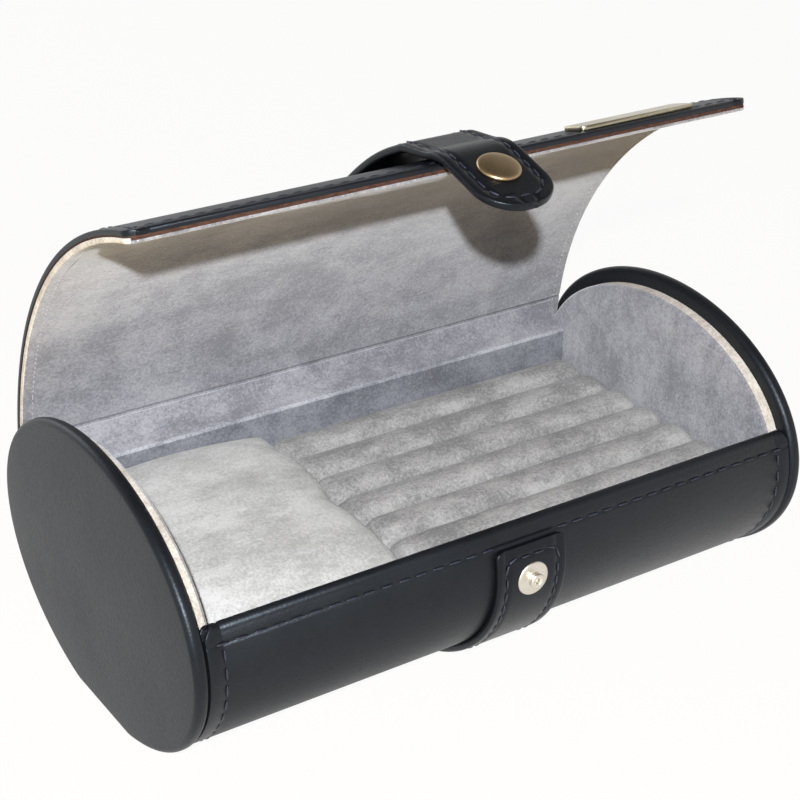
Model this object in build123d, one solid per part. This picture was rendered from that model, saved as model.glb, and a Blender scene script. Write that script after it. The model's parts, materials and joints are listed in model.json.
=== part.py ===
from build123d import *
import os
from math import acos, asin, cos, degrees, radians, sin, sqrt

# A jewelry case: an oval trough between two end discs, a flexible wrap-over lid on a leather hinge,
# ring rolls, a lift-out watch pillow, and a strap with a snap. Millimetres. X runs along the case,
# -Y is the front, +Z is up, and the origin is the middle of the flat that the case stands on.
# The lid stands open at rest.

# Case outline
case_length = 202.0
case_width = 118.0
oval_height = 84.0
foot_flat_depth = 1.5

# Sheet materials
cover_thickness = 0.9
wall_board_thickness = 1.6
lining_thickness = 0.9

# End discs
disc_thickness = 4.0
disc_edge_radius = 1.4
disc_edge_steps = 2
disc_turn_in = 14.0
inner_board_thickness = 3.2

# Trough
wall_inset = 0.6
wall_end_gap = 0.3
rim_height = 54.4
rim_turn_in = 5.0
rim_edge_radius = 1.2
rim_corner_radius = 4.0
seat_gap = 0.15
lid_gap = 0.8

# Lid: strip widths run along the arc from the hinge to the free edge
hinge_height = 48.5
hinge_roll_radius = 1.6
hinge_clearance = 0.3
lid_radius = 105.0
lid_lean = 2.6
lid_end_gap = 0.3
lid_strip_widths = (15.0, 21.0, 25.5, 26.5, 22.0, 15.0, 13.0)
lid_corner_radius = 3.0
bend_clearance = 0.2
cover_split = 0.6
lining_split = 1.0

# Inside
ledge_front = 45.0
ledge_height = 50.5
ledge_slope = 0.5
tray_height = 32.0
tray_board_thickness = 1.6
tray_end_gap = 0.4
roll_pitch = 13.9
roll_gap = 0.4
roll_crown_height = 43.2
roll_crown_rise = 2.2
roll_end_round = 5.0
pad_gap = 0.3
pillow_length = 66.4
pillow_tray_gap = 1.2
pillow_crown_height = 50.2
pillow_back_height = 47.0
pillow_front_height = 36.0
pillow_side_gap = 1.2
pillow_draw = 2.0
pillow_steps = 4

# Strap and snap
strap_width = 23.0
strap_thickness = 2.2
strap_backing_thickness = 1.0
strap_corner_radius = 3.5
strap_tail_length = 68.0
front_strap_top = 49.3
front_strap_end = -25.0
front_strap_arcs = 3
strap_seat_gap = 0.06
tab_clearance = 0.25
tab_lift = 2.0
tab_rise_length = 10.7
tab_bend_radius = 14.0
tab_bend = 38.7
tab_drop_length = 22.0
tab_tip_radius = 10.0
snap_from_tip = 15.2
stud_height = 39.2
stud_seat_depth = 0.35
stud_radius = 4.95
stud_flange_thickness = 0.7
stud_post_radius = 2.2
stud_post_height = 2.1
stud_hole_radius = 0.9
stud_hole_depth = 1.6
rivet_radius = 1.4
rivet_head_radius = 3.5
rivet_head_thickness = 0.6
rivet_clearance = 0.1
cap_radius = 5.9
cap_thickness = 1.5
cap_dome_rise = 0.8
cap_dome_steps = 2
socket_radius = 5.4
socket_height = 2.4
socket_clearance = 0.55
socket_floor = 0.5
spring_wire_radius = 0.3
spring_wire_sides = 4

# Name plate
plate_length = 40.0
plate_width = 9.0
plate_thickness = 1.2
plate_corner_radius = 1.5
plate_end_gap = 17.7
plate_seat_gap = 0.05
pin_width = 1.6
pin_clearance = 0.05
pin_inset = 4.0
pin_depth = 0.8

half_length = case_length / 2
semi_width = case_width / 2
semi_height = oval_height / 2
axis_height = semi_height - foot_flat_depth
disc_inner = half_length - disc_thickness
lining_face = disc_inner - inner_board_thickness - lining_thickness
wall_half = disc_inner - wall_end_gap
lid_half = disc_inner - lid_end_gap
wall_thickness = cover_thickness + wall_board_thickness + lining_thickness
board_inset = wall_inset + cover_thickness
lining_inset = board_inset + wall_board_thickness
room_inset = wall_inset + wall_thickness
middle_inset = board_inset + wall_board_thickness / 2


def oval(inset, floor):
    """The case's section, drawn in from the discs' outline and cut flat at floor."""
    outline = Pos(0, axis_height) * Ellipse(semi_width - inset, semi_height - inset)
    return outline & Pos(0, floor + oval_height) * Rectangle(2 * case_width, 2 * oval_height)


def oval_reach(inset, height):
    """Half the section's width at a height."""
    share = (height - axis_height) / (semi_height - inset)
    return (semi_width - inset) * sqrt(1 - share**2)


def oval_depth(inset, reach):
    """Height of the section's underside at a distance from its middle."""
    share = reach / (semi_width - inset)
    return axis_height - (semi_height - inset) * sqrt(1 - share**2)


def below(front_top, back_top):
    """Everything under one height in front of the middle and under another behind it."""
    front = Pos(-case_width / 2, front_top - oval_height) * Rectangle(case_width, 2 * oval_height)
    back = Pos(case_width / 2, back_top - oval_height) * Rectangle(case_width, 2 * oval_height)
    return front + back


def bar(section, start, end):
    """A section in Y and Z, drawn out along X."""
    return extrude(Plane.YZ.offset(start) * section, end - start)


def to_front(reach, height):
    """A place on the front wall whose local Z points out to the front."""
    return Plane(origin=(0, -reach, height), x_dir=(1, 0, 0), z_dir=(0, -1, 0))


parts = {}

# End discs: a board wrapped in leather that is turned in behind, with a lined inner board
inner_edge, outer_edge = [], []
for number in range(disc_edge_steps + 1):
    turn = radians(90 * number / disc_edge_steps)
    along = disc_edge_radius * (1 - cos(turn))
    draw = disc_edge_radius * (1 - sin(turn))
    inner_edge.append((disc_inner + along, draw))
    outer_edge.insert(0, (half_length - along, draw))
disc = loft([Plane.YZ.offset(x) * oval(draw, draw) for x, draw in inner_edge + outer_edge], ruled=True)
disc_board = bar(
    oval(cover_thickness, cover_thickness), disc_inner + cover_thickness, half_length - cover_thickness
)
mouth_width, mouth_height = sqrt(2) * (semi_width - disc_turn_in), sqrt(2) * (semi_height - disc_turn_in)
mouth = Pos(0, axis_height) * Rectangle(mouth_width, mouth_height)
turn_in_mouth = bar(mouth, disc_inner, disc_inner + cover_thickness)
lid_room = oval(room_inset + lid_gap, wall_thickness + seat_gap)
seat_room = oval(room_inset + seat_gap, wall_thickness + seat_gap)
hinge_step = hinge_height - 2 * hinge_roll_radius - lid_gap
inner_outline = lid_room + (seat_room & below(hinge_step, hinge_step))
right_end = {
    "end_leather": disc - disc_board - turn_in_mouth,
    "end_board": disc_board,
    "end_inner_board": bar(inner_outline, disc_inner - inner_board_thickness, disc_inner),
    "end_lining": bar(inner_outline, lining_face, lining_face + lining_thickness),
}
for name, solid in right_end.items():
    parts["right_" + name] = solid
    parts["left_" + name] = mirror(solid, about=Plane.YZ)

# Trough: leather, board and lining, with the leather turned over the front rim
hinge_y = oval_reach(middle_inset, hinge_height)
back_top = hinge_height - hinge_roll_radius
hinge_roll_room = Pos(hinge_y, hinge_height) * Circle(hinge_roll_radius + seat_gap)
outside = oval(wall_inset, 0)
board_outside = oval(board_inset, cover_thickness)
lining_outside = oval(lining_inset, cover_thickness + wall_board_thickness)
room = oval(room_inset, wall_thickness)
rim_front = below(rim_height, 0) - below(rim_height - rim_turn_in, 0)
board_section = (board_outside - lining_outside) & below(rim_height - rim_corner_radius, back_top)
lining_section = (lining_outside - room) & below(rim_height - rim_turn_in, back_top)
skin = (outside - board_outside) & below(rim_height, back_top)
rim_lip = (outside - room) & rim_front
leather_section = skin + (rim_lip - board_section) - hinge_roll_room
leather_section = fillet(leather_section.vertices().group_by(Axis.Y)[-1], rim_edge_radius)
trough_leather = bar(leather_section, -wall_half, wall_half)
parts["trough_board"] = bar(board_section - hinge_roll_room, -wall_half, wall_half)
corner_square = Rectangle(rim_corner_radius, rim_corner_radius, align=(Align.MIN, Align.MIN))
rim_corner = corner_square - Circle(rim_corner_radius)
corner_place = Pos(wall_half - rim_corner_radius, rim_height - rim_corner_radius)
right_corner = extrude(Plane.XZ * corner_place * rim_corner, case_width)
parts["trough_leather"] = trough_leather - right_corner - mirror(right_corner, about=Plane.YZ)
parts["trough_lining"] = bar(lining_section - hinge_roll_room, -wall_half, wall_half)
parts["hinge_roll"] = bar(Pos(hinge_y, hinge_height) * Circle(hinge_roll_radius), -wall_half, wall_half)

# Ledge along the back, with its lining over the front and the slope up to the lid


def ledge_room(drop):
    """The ledge's room, drawn back from its front and top by a thickness."""
    front = ledge_front + drop
    top = ledge_height - drop
    back = case_width
    back_top = top + ledge_slope * (back - front)
    corners = [(front, tray_height), (front, top), (back, back_top), (back, tray_height)]
    return inner_outline & make_face(Polyline(corners, close=True))


ledge_section = ledge_room(lining_thickness)
parts["back_ledge"] = bar(ledge_section, -lining_face, lining_face)
parts["back_ledge_lining"] = bar(ledge_room(0) - ledge_section, -lining_face, lining_face)

# Ring tray: a board across the trough that carries the padded rolls
tray_underside = tray_height - tray_board_thickness
tray_reach = oval_reach(room_inset, tray_underside) - seat_gap
tray_end = lining_face - tray_end_gap
pillow_start = -lining_face + pad_gap
pillow_end = pillow_start + pillow_length
tray_start = pillow_end + pillow_tray_gap
tray_middle = tray_height - tray_board_thickness / 2
tray_section = Pos(0, tray_middle) * Rectangle(2 * tray_reach, tray_board_thickness)
parts["ring_tray_board"] = bar(tray_section, tray_start, tray_end)
roll_floor = tray_height + pad_gap
roll_room = ledge_front + oval_reach(room_inset, roll_floor) - pad_gap
roll_count = int(roll_room / roll_pitch)


def roll_section(middle):
    """A ring roll's section: straight sides under a crown."""
    reach = (roll_pitch - roll_gap) / 2
    shoulder = roll_crown_height - roll_crown_rise
    left = (middle - reach, shoulder)
    right = (middle + reach, shoulder)
    foot = Polyline(right, (middle + reach, roll_floor), (middle - reach, roll_floor), left)
    crest = ThreePointArc(left, (middle, roll_crown_height), right)
    return make_face([*foot.edges(), crest])


roll_side = Rectangle(tray_end - tray_start, roll_crown_height - roll_floor)
roll_side = fillet(roll_side.vertices().group_by(Axis.Y)[-1], roll_end_round)
roll_side = Pos((tray_start + tray_end) / 2, (roll_floor + roll_crown_height) / 2) * roll_side
rounded_ends = extrude(Plane.XZ * roll_side, case_width / 2, both=True)
for number in range(roll_count):
    middle = ledge_front - (number + 0.5) * roll_pitch
    parts[f"ring_roll_{number + 1}"] = bar(roll_section(middle), tray_start, tray_end) & rounded_ends


def pillow_section(x, draw):
    """The watch pillow's section: a crown, higher at the back, over sides that narrow to its floor."""
    reach = ledge_front - pillow_side_gap - draw
    floor = wall_thickness + pad_gap
    foot = oval_reach(room_inset + pad_gap + pillow_draw, floor + pillow_draw) / 2
    corner_height = oval_depth(room_inset + pad_gap + draw / 2, reach)
    back = (reach, pillow_back_height - draw)
    front = (-reach, pillow_front_height - draw)
    crest = ThreePointArc(front, (0, pillow_crown_height - draw), back)
    back_foot = Polyline(back, (reach, corner_height), (foot, floor))
    front_foot = Polyline((-foot, floor), (-reach, corner_height), front)
    underside = Line((foot, floor), (-foot, floor))
    return Plane.YZ.offset(x) * make_face([crest, *back_foot.edges(), underside, *front_foot.edges()])


pillow_sections = []
for number in range(pillow_steps + 1):
    share = number / pillow_steps
    draw = pillow_draw * (2 * share - 1) ** 2
    pillow_sections.append(pillow_section(pillow_start + share * pillow_length, draw))
parts["watch_pillow"] = loft(pillow_sections, ruled=True)

# Lid: every strip is a stretch of one arc, in three layers, and bends at the middle of the board
lid_centre = (
    hinge_y - lid_radius * cos(radians(lid_lean)),
    hinge_height - lid_radius * sin(radians(lid_lean)),
)
bend_angles = [lid_lean]
for width in lid_strip_widths:
    bend_angles.append(bend_angles[-1] + degrees(width / lid_radius))
board_low = lid_radius - wall_board_thickness / 2
board_high = lid_radius + wall_board_thickness / 2
lining_low = board_low - lining_thickness
cover_high = board_high + cover_thickness
strip_count = len(lid_strip_widths)


def arc_point(radius, angle):
    """A point in Y and Z on a circle about the lid's centre."""
    return (lid_centre[0] + radius * cos(radians(angle)), lid_centre[1] + radius * sin(radians(angle)))


def arc_band(low, high, start, end):
    """A stretch of one of the lid's layers."""
    far = CenterArc(lid_centre, high, start, end - start)
    near = CenterArc(lid_centre, low, start, end - start)
    return make_face([far, Line(far @ 1, near @ 1), near, Line(near @ 0, far @ 0)])


def split(gap):
    """Half of a gap between two strips, as an angle."""
    return degrees(gap / 2 / lid_radius)


def round_end(solid, angle, half, radius):
    """Round the two corners of a strip's end, seen from outside the lid."""
    end_y, end_z = arc_point(lid_radius, angle)
    corners = [
        edge
        for edge in solid.edges()
        if abs(abs(edge.center().X) - half) < 0.01
        and sqrt((edge.center().Y - end_y) ** 2 + (edge.center().Z - end_z) ** 2) < 2 * wall_thickness
        and edge.length < strap_thickness + wall_board_thickness
    ]
    return fillet(corners, radius)


board_nose = wall_board_thickness / 2
for number in range(1, strip_count + 1):
    start, end = bend_angles[number - 1], bend_angles[number]
    leather_end = end if number == strip_count else end - split(cover_split)
    lining_end = end if number == strip_count else end - split(lining_split)
    leather = arc_band(board_high, cover_high, start + split(cover_split), leather_end)
    board = arc_band(board_low, board_high, start, end)
    lining = arc_band(lining_low, board_low, start + split(lining_split), lining_end)
    if number == 1:
        swing = Pos(hinge_y, hinge_height) * Circle(hinge_roll_radius + hinge_clearance)
        leather, board, lining = leather - swing, board - swing, lining - swing
    else:
        board = board + Pos(*arc_point(lid_radius, start)) * Circle(board_nose)
    if number < strip_count:
        board = board - Pos(*arc_point(lid_radius, end)) * Circle(board_nose + bend_clearance)
    for layer, section in (("leather", leather), ("board", board), ("lining", lining)):
        solid = bar(section, -lid_half, lid_half)
        if number == strip_count:
            solid = round_end(solid, end, lid_half, lid_corner_radius)
        parts[f"lid_{layer}_{number}"] = solid

# Strap tail, sewn to the outside of the lid up to the strip before the free edge
strap_half = strap_width / 2
tail_start = bend_angles[-1] - degrees(strap_tail_length / lid_radius)
tab_root_radius = cover_high + tab_clearance + strap_thickness / 2
tab_root_angle = bend_angles[-2]
tab_root = arc_point(tab_root_radius, tab_root_angle)
tab_swing = Pos(*tab_root) * Circle(strap_thickness / 2 + tab_clearance)
for number in range(1, strip_count):
    start, end = bend_angles[number - 1], bend_angles[number]
    if end <= tail_start:
        continue
    first = max(start + split(cover_split), tail_start)
    section = arc_band(cover_high, cover_high + strap_thickness, first, end - split(cover_split))
    solid = bar(section - tab_swing, -strap_half, strap_half)
    if first == tail_start:
        solid = round_end(solid, first, strap_half, strap_corner_radius)
    parts[f"strap_tail_{number}"] = solid


def heading(angle):
    """A unit step in Y and Z along an angle."""
    return (cos(radians(angle)), sin(radians(angle)))


# Strap tab: rises off the lid, bends over its free edge and hangs down with the snap's cap
rise_heading = tab_root_angle + 90 - tab_lift
drop_heading = rise_heading + tab_bend
rise_step, drop_step = heading(rise_heading), heading(drop_heading)
bend_start = (tab_root[0] + tab_rise_length * rise_step[0], tab_root[1] + tab_rise_length * rise_step[1])
to_bend_centre = heading(rise_heading + 90)
bend_centre = (
    bend_start[0] + tab_bend_radius * to_bend_centre[0],
    bend_start[1] + tab_bend_radius * to_bend_centre[1],
)


def tab_line(offset):
    """One face of the tab in Y and Z, a distance outside its middle."""
    out = heading(rise_heading - 90)
    first = (tab_root[0] + offset * out[0], tab_root[1] + offset * out[1])
    arc = CenterArc(bend_centre, tab_bend_radius + offset, rise_heading - 90, tab_bend)
    last = arc @ 1 + Vector(*drop_step) * tab_drop_length
    return [Line(first, arc @ 0), arc, Line(arc @ 1, last)]


def tab_layer(low, high):
    """A layer of the tab between two distances from its middle."""
    inner, outer = tab_line(low), tab_line(high)
    ends = [Line(inner[0] @ 0, outer[0] @ 0), Line(inner[2] @ 1, outer[2] @ 1)]
    solid = bar(make_face([*inner, *outer, *ends]), -strap_half, strap_half)
    tip = inner[2] @ 1
    corners = [
        edge
        for edge in solid.edges()
        if abs(abs(edge.center().X) - strap_half) < 0.01
        and (edge.center() - Vector(0, tip.X, tip.Y)).length < strap_half + strap_thickness
        and edge.length < strap_thickness
    ]
    return fillet(corners, tab_tip_radius)


tab_middle = tab_line(0)[2]
snap_share = 1 - snap_from_tip / tab_drop_length
snap_point = tab_middle @ snap_share
snap_out = heading(drop_heading - 90)
snap_place = Plane(origin=(0, snap_point.X, snap_point.Y), x_dir=(1, 0, 0), z_dir=(0, *snap_out))
tab_out = strap_thickness / 2
tab_split = strap_backing_thickness - tab_out
shank_hole = snap_place * Cylinder(rivet_radius + rivet_clearance, 2 * strap_thickness)
parts["strap_tab"] = tab_layer(tab_split, tab_out) - shank_hole
parts["strap_backing"] = tab_layer(-tab_out, tab_split) - shank_hole

# The tab's snap: a cap outside, its shank through the strap, and a socket with a ring spring inside
on_top = (Align.CENTER, Align.CENTER, Align.MIN)
hung = (Align.CENTER, Align.CENTER, Align.MAX)
cap_top = tab_out + cap_thickness
dome_radius = (cap_radius**2 + cap_dome_rise**2) / (2 * cap_dome_rise)
cap_outline = [(0, -tab_out), (rivet_radius, -tab_out), (rivet_radius, tab_out), (cap_radius, tab_out)]
for number in range(cap_dome_steps):
    turn = asin(cap_radius / dome_radius) * (1 - number / cap_dome_steps)
    cap_outline.append((dome_radius * sin(turn), cap_top - dome_radius * (1 - cos(turn))))
cap_outline.append((0, cap_top))
parts["snap_cap"] = snap_place * revolve(Plane.XZ * make_face(Polyline(cap_outline, close=True)), Axis.Z)
socket_hole = stud_post_radius + socket_clearance
socket_body = Pos(0, 0, -tab_out) * Cylinder(socket_radius, socket_height, align=hung)
socket_body = chamfer(socket_body.edges().group_by(Axis.Z)[0], socket_floor)
socket_mouth = Pos(0, 0, -tab_out - socket_floor) * Cylinder(socket_hole, socket_height, align=hung)
spring_level = -tab_out - socket_height / 2 - spring_wire_radius
groove_radius = socket_hole + 2 * spring_wire_radius
groove = Pos(0, 0, spring_level) * Cylinder(groove_radius, 4 * spring_wire_radius)
parts["snap_socket"] = snap_place * (socket_body - socket_mouth - groove)
spring_radius = groove_radius - spring_wire_radius - rivet_clearance
spring_wire = Pos(spring_radius, spring_level) * RegularPolygon(spring_wire_radius, spring_wire_sides)
parts["snap_spring"] = snap_place * revolve(Plane.XZ * spring_wire, Axis.Z)

# Front strap, sewn to the wall, and the snap's stud, riveted through the strap


def front_line(inset):
    """The front strap's line down the wall, as a chain of arcs through points of the oval."""
    wide, tall = semi_width - inset, semi_height - inset
    first = asin((front_strap_top - axis_height) / tall)
    last = -acos(-front_strap_end / wide)
    step = (last - first) / (2 * front_strap_arcs)
    turns = [first + number * step for number in range(2 * front_strap_arcs + 1)]
    points = [(-wide * cos(turn), axis_height + tall * sin(turn)) for turn in turns]
    return [ThreePointArc(*points[i : i + 3]) for i in range(0, 2 * front_strap_arcs, 2)]


strap_inside = front_line(wall_inset - strap_seat_gap)
strap_outside = front_line(wall_inset - strap_thickness)
strap_ends = [
    Line(strap_inside[0] @ 0, strap_outside[0] @ 0),
    Line(strap_inside[-1] @ 1, strap_outside[-1] @ 1),
]
front_strap = bar(make_face([*strap_inside, *strap_outside, *strap_ends]), -strap_half, strap_half)
top_corners = [
    edge
    for edge in front_strap.edges()
    if abs(abs(edge.center().X) - strap_half) < 0.01
    and edge.center().Z > front_strap_top - strap_thickness
    and edge.length < 2 * strap_thickness
]
front_strap = fillet(top_corners, strap_corner_radius)
stud_seat = oval_reach(wall_inset - strap_thickness, stud_height) - stud_seat_depth
stud_place = to_front(stud_seat, stud_height)
rivet_start = semi_width - wall_inset + rivet_clearance
rivet_place = to_front(rivet_start, stud_height)
rivet_length = stud_seat - rivet_start
rivet_hole = rivet_place * Cylinder(rivet_radius + rivet_clearance, rivet_length, align=on_top)
head_depth = 2 * (rivet_head_thickness + rivet_clearance)
head_room = rivet_place * Cylinder(rivet_head_radius + rivet_clearance, head_depth)
stud_room = stud_place * Cylinder(stud_radius + rivet_clearance, strap_thickness, align=on_top)
parts["front_strap"] = front_strap - stud_room - rivet_hole - head_room
rivet_head = Cylinder(rivet_head_radius, rivet_head_thickness, align=on_top)
parts["snap_rivet"] = rivet_place * (rivet_head + Cylinder(rivet_radius, rivet_length, align=on_top))
flange_edge = stud_flange_thickness / 2
waist = stud_post_radius - spring_wire_radius
post_top = stud_flange_thickness + stud_post_height
bulge = post_top - stud_post_height / 3
stud_outline = Polyline(
    (0, 0),
    (stud_radius, 0),
    (stud_radius, flange_edge),
    (stud_radius - flange_edge, stud_flange_thickness),
    (waist, stud_flange_thickness),
    (waist, stud_flange_thickness + spring_wire_radius),
    (stud_post_radius, bulge),
    (waist, post_top),
    (stud_hole_radius, post_top),
    (stud_hole_radius, post_top - stud_hole_depth),
    (0, post_top - stud_hole_depth),
    close=True,
)
parts["snap_stud"] = stud_place * revolve(Plane.XZ * make_face(stud_outline), Axis.Z)

# Blank name plate, pinned to the outside of the lid by its free edge
plate_angle = (bend_angles[-2] + bend_angles[-1]) / 2
plate_y, plate_z = arc_point(cover_high + plate_seat_gap, plate_angle)
plate_x = lid_half - plate_end_gap - plate_length / 2
plate_place = Plane(origin=(plate_x, plate_y, plate_z), x_dir=(1, 0, 0), z_dir=(0, *heading(plate_angle)))
plate_outline = RectangleRounded(plate_length, plate_width, plate_corner_radius)
parts["name_plate"] = plate_place * extrude(plate_outline, plate_thickness)
pin_places = [Pos(side * (plate_length / 2 - pin_inset), 0) for side in (-1, 1)]
pin_room = pin_width + 2 * pin_clearance
for place in pin_places:
    hole = plate_place * place * Box(pin_room, pin_room, pin_depth, align=hung)
    parts[f"lid_leather_{strip_count}"] -= hole
parts["name_plate_pins"] = Compound(
    [plate_place * place * Box(pin_width, pin_width, pin_depth, align=hung) for place in pin_places]
)

os.makedirs("parts", exist_ok=True)
for name, solid in parts.items():
    export_step(solid, f"parts/{name}.step")
print(len(parts), "sub-parts")
print("hinge", round(hinge_y, 3), hinge_height, "lid centre", [round(v, 3) for v in lid_centre])
print("bend angles", [round(angle, 3) for angle in bend_angles])
print("tab root", [round(v, 3) for v in tab_root], "snap", round(snap_point.X, 2), round(snap_point.Y, 2))
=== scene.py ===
# %% [markdown]
# # A leather jewelry case with its lid open
# The case is an oval trough between two leather discs. A flexible lid wraps over it and closes with a
# strap and a snap. Inside are grey suede, seven ring rolls and a watch pillow. The solid model of the case
# is the fixed frame here: this lesson dresses it in leather, suede, thread and metal, in the same metres.

# %% Load the frame and keep its box
import json
import math
import bpy
import numpy as np
from mathutils import Matrix, Vector


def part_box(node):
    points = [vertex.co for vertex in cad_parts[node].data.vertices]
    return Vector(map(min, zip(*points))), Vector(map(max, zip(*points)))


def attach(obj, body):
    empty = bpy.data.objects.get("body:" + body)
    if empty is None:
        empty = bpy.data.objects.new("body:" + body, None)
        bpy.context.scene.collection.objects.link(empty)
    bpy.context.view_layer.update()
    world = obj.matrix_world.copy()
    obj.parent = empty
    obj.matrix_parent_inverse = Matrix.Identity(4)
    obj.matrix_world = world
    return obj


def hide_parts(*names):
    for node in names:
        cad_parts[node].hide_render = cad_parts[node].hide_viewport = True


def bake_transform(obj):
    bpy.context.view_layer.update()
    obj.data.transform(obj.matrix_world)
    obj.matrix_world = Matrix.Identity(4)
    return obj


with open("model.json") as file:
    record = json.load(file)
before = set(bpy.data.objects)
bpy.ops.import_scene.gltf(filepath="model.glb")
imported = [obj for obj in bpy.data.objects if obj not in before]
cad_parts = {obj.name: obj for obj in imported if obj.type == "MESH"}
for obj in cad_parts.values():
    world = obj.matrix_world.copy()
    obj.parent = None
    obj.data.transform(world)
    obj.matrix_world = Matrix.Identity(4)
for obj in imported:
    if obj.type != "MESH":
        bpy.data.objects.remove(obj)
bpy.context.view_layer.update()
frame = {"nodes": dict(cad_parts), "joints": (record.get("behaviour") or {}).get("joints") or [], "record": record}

MM = 0.001

# %% [markdown]
# ## Sizes
# Every place comes from the frame: the discs give the oval, and the joints give the lid. The lid's hinge
# and its bends lie on one circle at rest, so three of them are enough to find its centre and radius. The
# lid's sheets are cut at the middle of each strip. Only the thicknesses of the sheets are written again.

# %% Sizes of the case
COVER = 0.9 * MM
BOARD = 1.6 * MM
LINING = 0.9 * MM
WALL = COVER + BOARD + LINING
WALL_INSET = 0.6 * MM
FOOT_FLAT = 1.5 * MM
RIM_TURN_IN = 5.0 * MM
STRAP = 2.2 * MM

disc_low, disc_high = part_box("right_end_leather")
HALF_LENGTH = disc_high.x
DISC_INNER = disc_low.x
SEMI_WIDTH = disc_high.y
SEMI_HEIGHT = (disc_high.z + FOOT_FLAT) / 2
AXIS_HEIGHT = SEMI_HEIGHT - FOOT_FLAT
RIM_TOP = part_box("trough_leather")[1].z
WALL_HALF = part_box("trough_leather")[1].x
LID_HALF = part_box("lid_leather_4")[1].x
LINING_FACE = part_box("right_end_lining")[0].x

joints = {joint["name"]: joint for joint in frame["joints"]}
bend_names = ["lid_hinge"] + [f"lid_bend_{k}" for k in range(2, 8)]
bend_points = np.array([joints[name]["pos_m"][1:] for name in bend_names])


def circle_through(a, b, c):
    """Centre and radius of the circle through three points of the section."""
    rows = np.array([b - a, c - a])
    centre = np.linalg.solve(2 * rows, [b @ b - a @ a, c @ c - a @ a])
    return centre, np.linalg.norm(a - centre)


LID_CENTRE, LID_RADIUS = circle_through(bend_points[0], bend_points[3], bend_points[6])
start_angles = [math.atan2(*(point - LID_CENTRE)[::-1]) for point in bend_points]
edge_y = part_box("lid_board_7")[0].y
edge_angle = math.acos((edge_y - LID_CENTRE[0]) / (LID_RADIUS - BOARD / 2))
strip_ends = [LID_RADIUS * (angle - start_angles[0]) for angle in start_angles + [edge_angle]]
cuts = [(a + b) / 2 for a, b in zip(strip_ends, strip_ends[1:])]
LID_LENGTH = strip_ends[-1]
print("lid radius", round(LID_RADIUS, 4), "length", round(LID_LENGTH, 4), "rim", round(RIM_TOP, 4))

# %% [markdown]
# ## Shader maths as plain Python
# A node tree is easier to read as arithmetic. The small class below wraps an output socket, so that
# `grain * 0.3 + dust` adds the Math nodes by itself. `Finish.node` makes every other kind of node.

# %% Signals and finishes
class Signal:
    """An output socket that takes part in sums: each operator adds a Math node."""

    def __init__(self, finish, socket):
        self.finish = finish
        self.socket = socket

    def math(self, operation, *values):
        return self.finish.node("ShaderNodeMath", {"operation": operation}, dict(enumerate(values)))

    def __add__(self, other):
        return self.math("ADD", self, other)

    def __sub__(self, other):
        return self.math("SUBTRACT", self, other)

    def __rsub__(self, other):
        return self.math("SUBTRACT", other, self)

    def __mul__(self, other):
        return self.math("MULTIPLY", self, other)

    __radd__ = __add__
    __rmul__ = __mul__


class Finish:
    """A material whose nodes are added one by one, around one Principled shader."""

    def __init__(self, name, **constants):
        self.material = bpy.data.materials.new(name)
        self.material.use_nodes = True
        self.tree = self.material.node_tree
        self.shader = self.tree.nodes["Principled BSDF"]
        for socket, value in constants.items():
            self.shader.inputs[socket.replace("_", " ")].default_value = value
        self.place = self.node("ShaderNodeTexCoord", output="Object")

    def node(self, kind, settings=None, inputs=None, output=0):
        made = self.tree.nodes.new(kind)
        for name, value in (settings or {}).items():
            if name == "stops":
                self.set_stops(made.color_ramp, value)
            else:
                setattr(made, name, value)
        for name, value in (inputs or {}).items():
            self.feed(made.inputs[name], value)
        return Signal(self, made.outputs[output])

    def set_stops(self, ramp, stops):
        while len(ramp.elements) < len(stops):
            ramp.elements.new(1.0)
        for element, (position, colour) in zip(ramp.elements, stops):
            element.position = position
            element.color = (*colour, 1.0)

    def feed(self, socket, value):
        if isinstance(value, Signal):
            self.tree.links.new(value.socket, socket)
        else:
            socket.default_value = value

    def set(self, **values):
        for name, value in values.items():
            self.feed(self.shader.inputs[name.replace("_", " ")], value)
        return self.material

    def noise(self, scale, detail=3.0, stretch=(1, 1, 1), rough=0.55):
        """Soft noise on the object's own metres, stretched along an axis where asked."""
        place = self.node("ShaderNodeMapping", None, {"Vector": self.place, "Scale": stretch})
        inputs = {"Vector": place, "Scale": scale, "Detail": detail, "Roughness": rough}
        return self.node("ShaderNodeTexNoise", None, inputs, "Fac")

    def cells(self, scale):
        """Pebble cells, as on grained leather."""
        inputs = {"Vector": self.place, "Scale": scale}
        return self.node("ShaderNodeTexVoronoi", {"feature": "F1"}, inputs)

    def ramp(self, signal, *stops):
        return self.node("ShaderNodeValToRGB", {"stops": stops}, {"Fac": signal})

    def bump(self, height, depth, strength=1.0, under=None):
        inputs = {"Height": height, "Distance": depth, "Strength": strength}
        if under is not None:
            inputs["Normal"] = under
        return self.node("ShaderNodeBump", None, inputs)


# %% [markdown]
# ## Leather
# The cover is black leather with a fine printed grain: pebbles well under a millimetre across, a little
# uneven in gloss where hands have polished it. Voronoi cells make the pebbles, and a broad noise moves the
# colour and the gloss. The straps are the same hide, smoother and darker.

# %% Leather finishes
def leather(name, dark, light, gloss, sheen, grain, depth):
    finish = Finish(name, Specular_IOR_Level=sheen, Specular_Tint=(0.77, 0.89, 1.0, 1.0))
    pebbles = finish.cells(grain)
    patches = finish.noise(38.0, 4.0)
    creases = finish.noise(190.0, 3.0, (1.0, 2.2, 2.2))
    pores = finish.noise(grain * 0.6, 2.0)
    tone = patches * 0.75 + pores * 0.25
    colour = finish.ramp(tone, (0.30, dark), (0.72, light))
    roughness = gloss + patches * 0.14 + pebbles * 0.08
    broad = finish.bump(patches + creases * 0.5, 0.40 * MM, 0.16)
    relief = finish.bump(pebbles * 0.7 + pores * 0.5, depth, 0.5, broad)
    return finish.set(Base_Color=colour, Roughness=roughness, Normal=relief)


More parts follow.
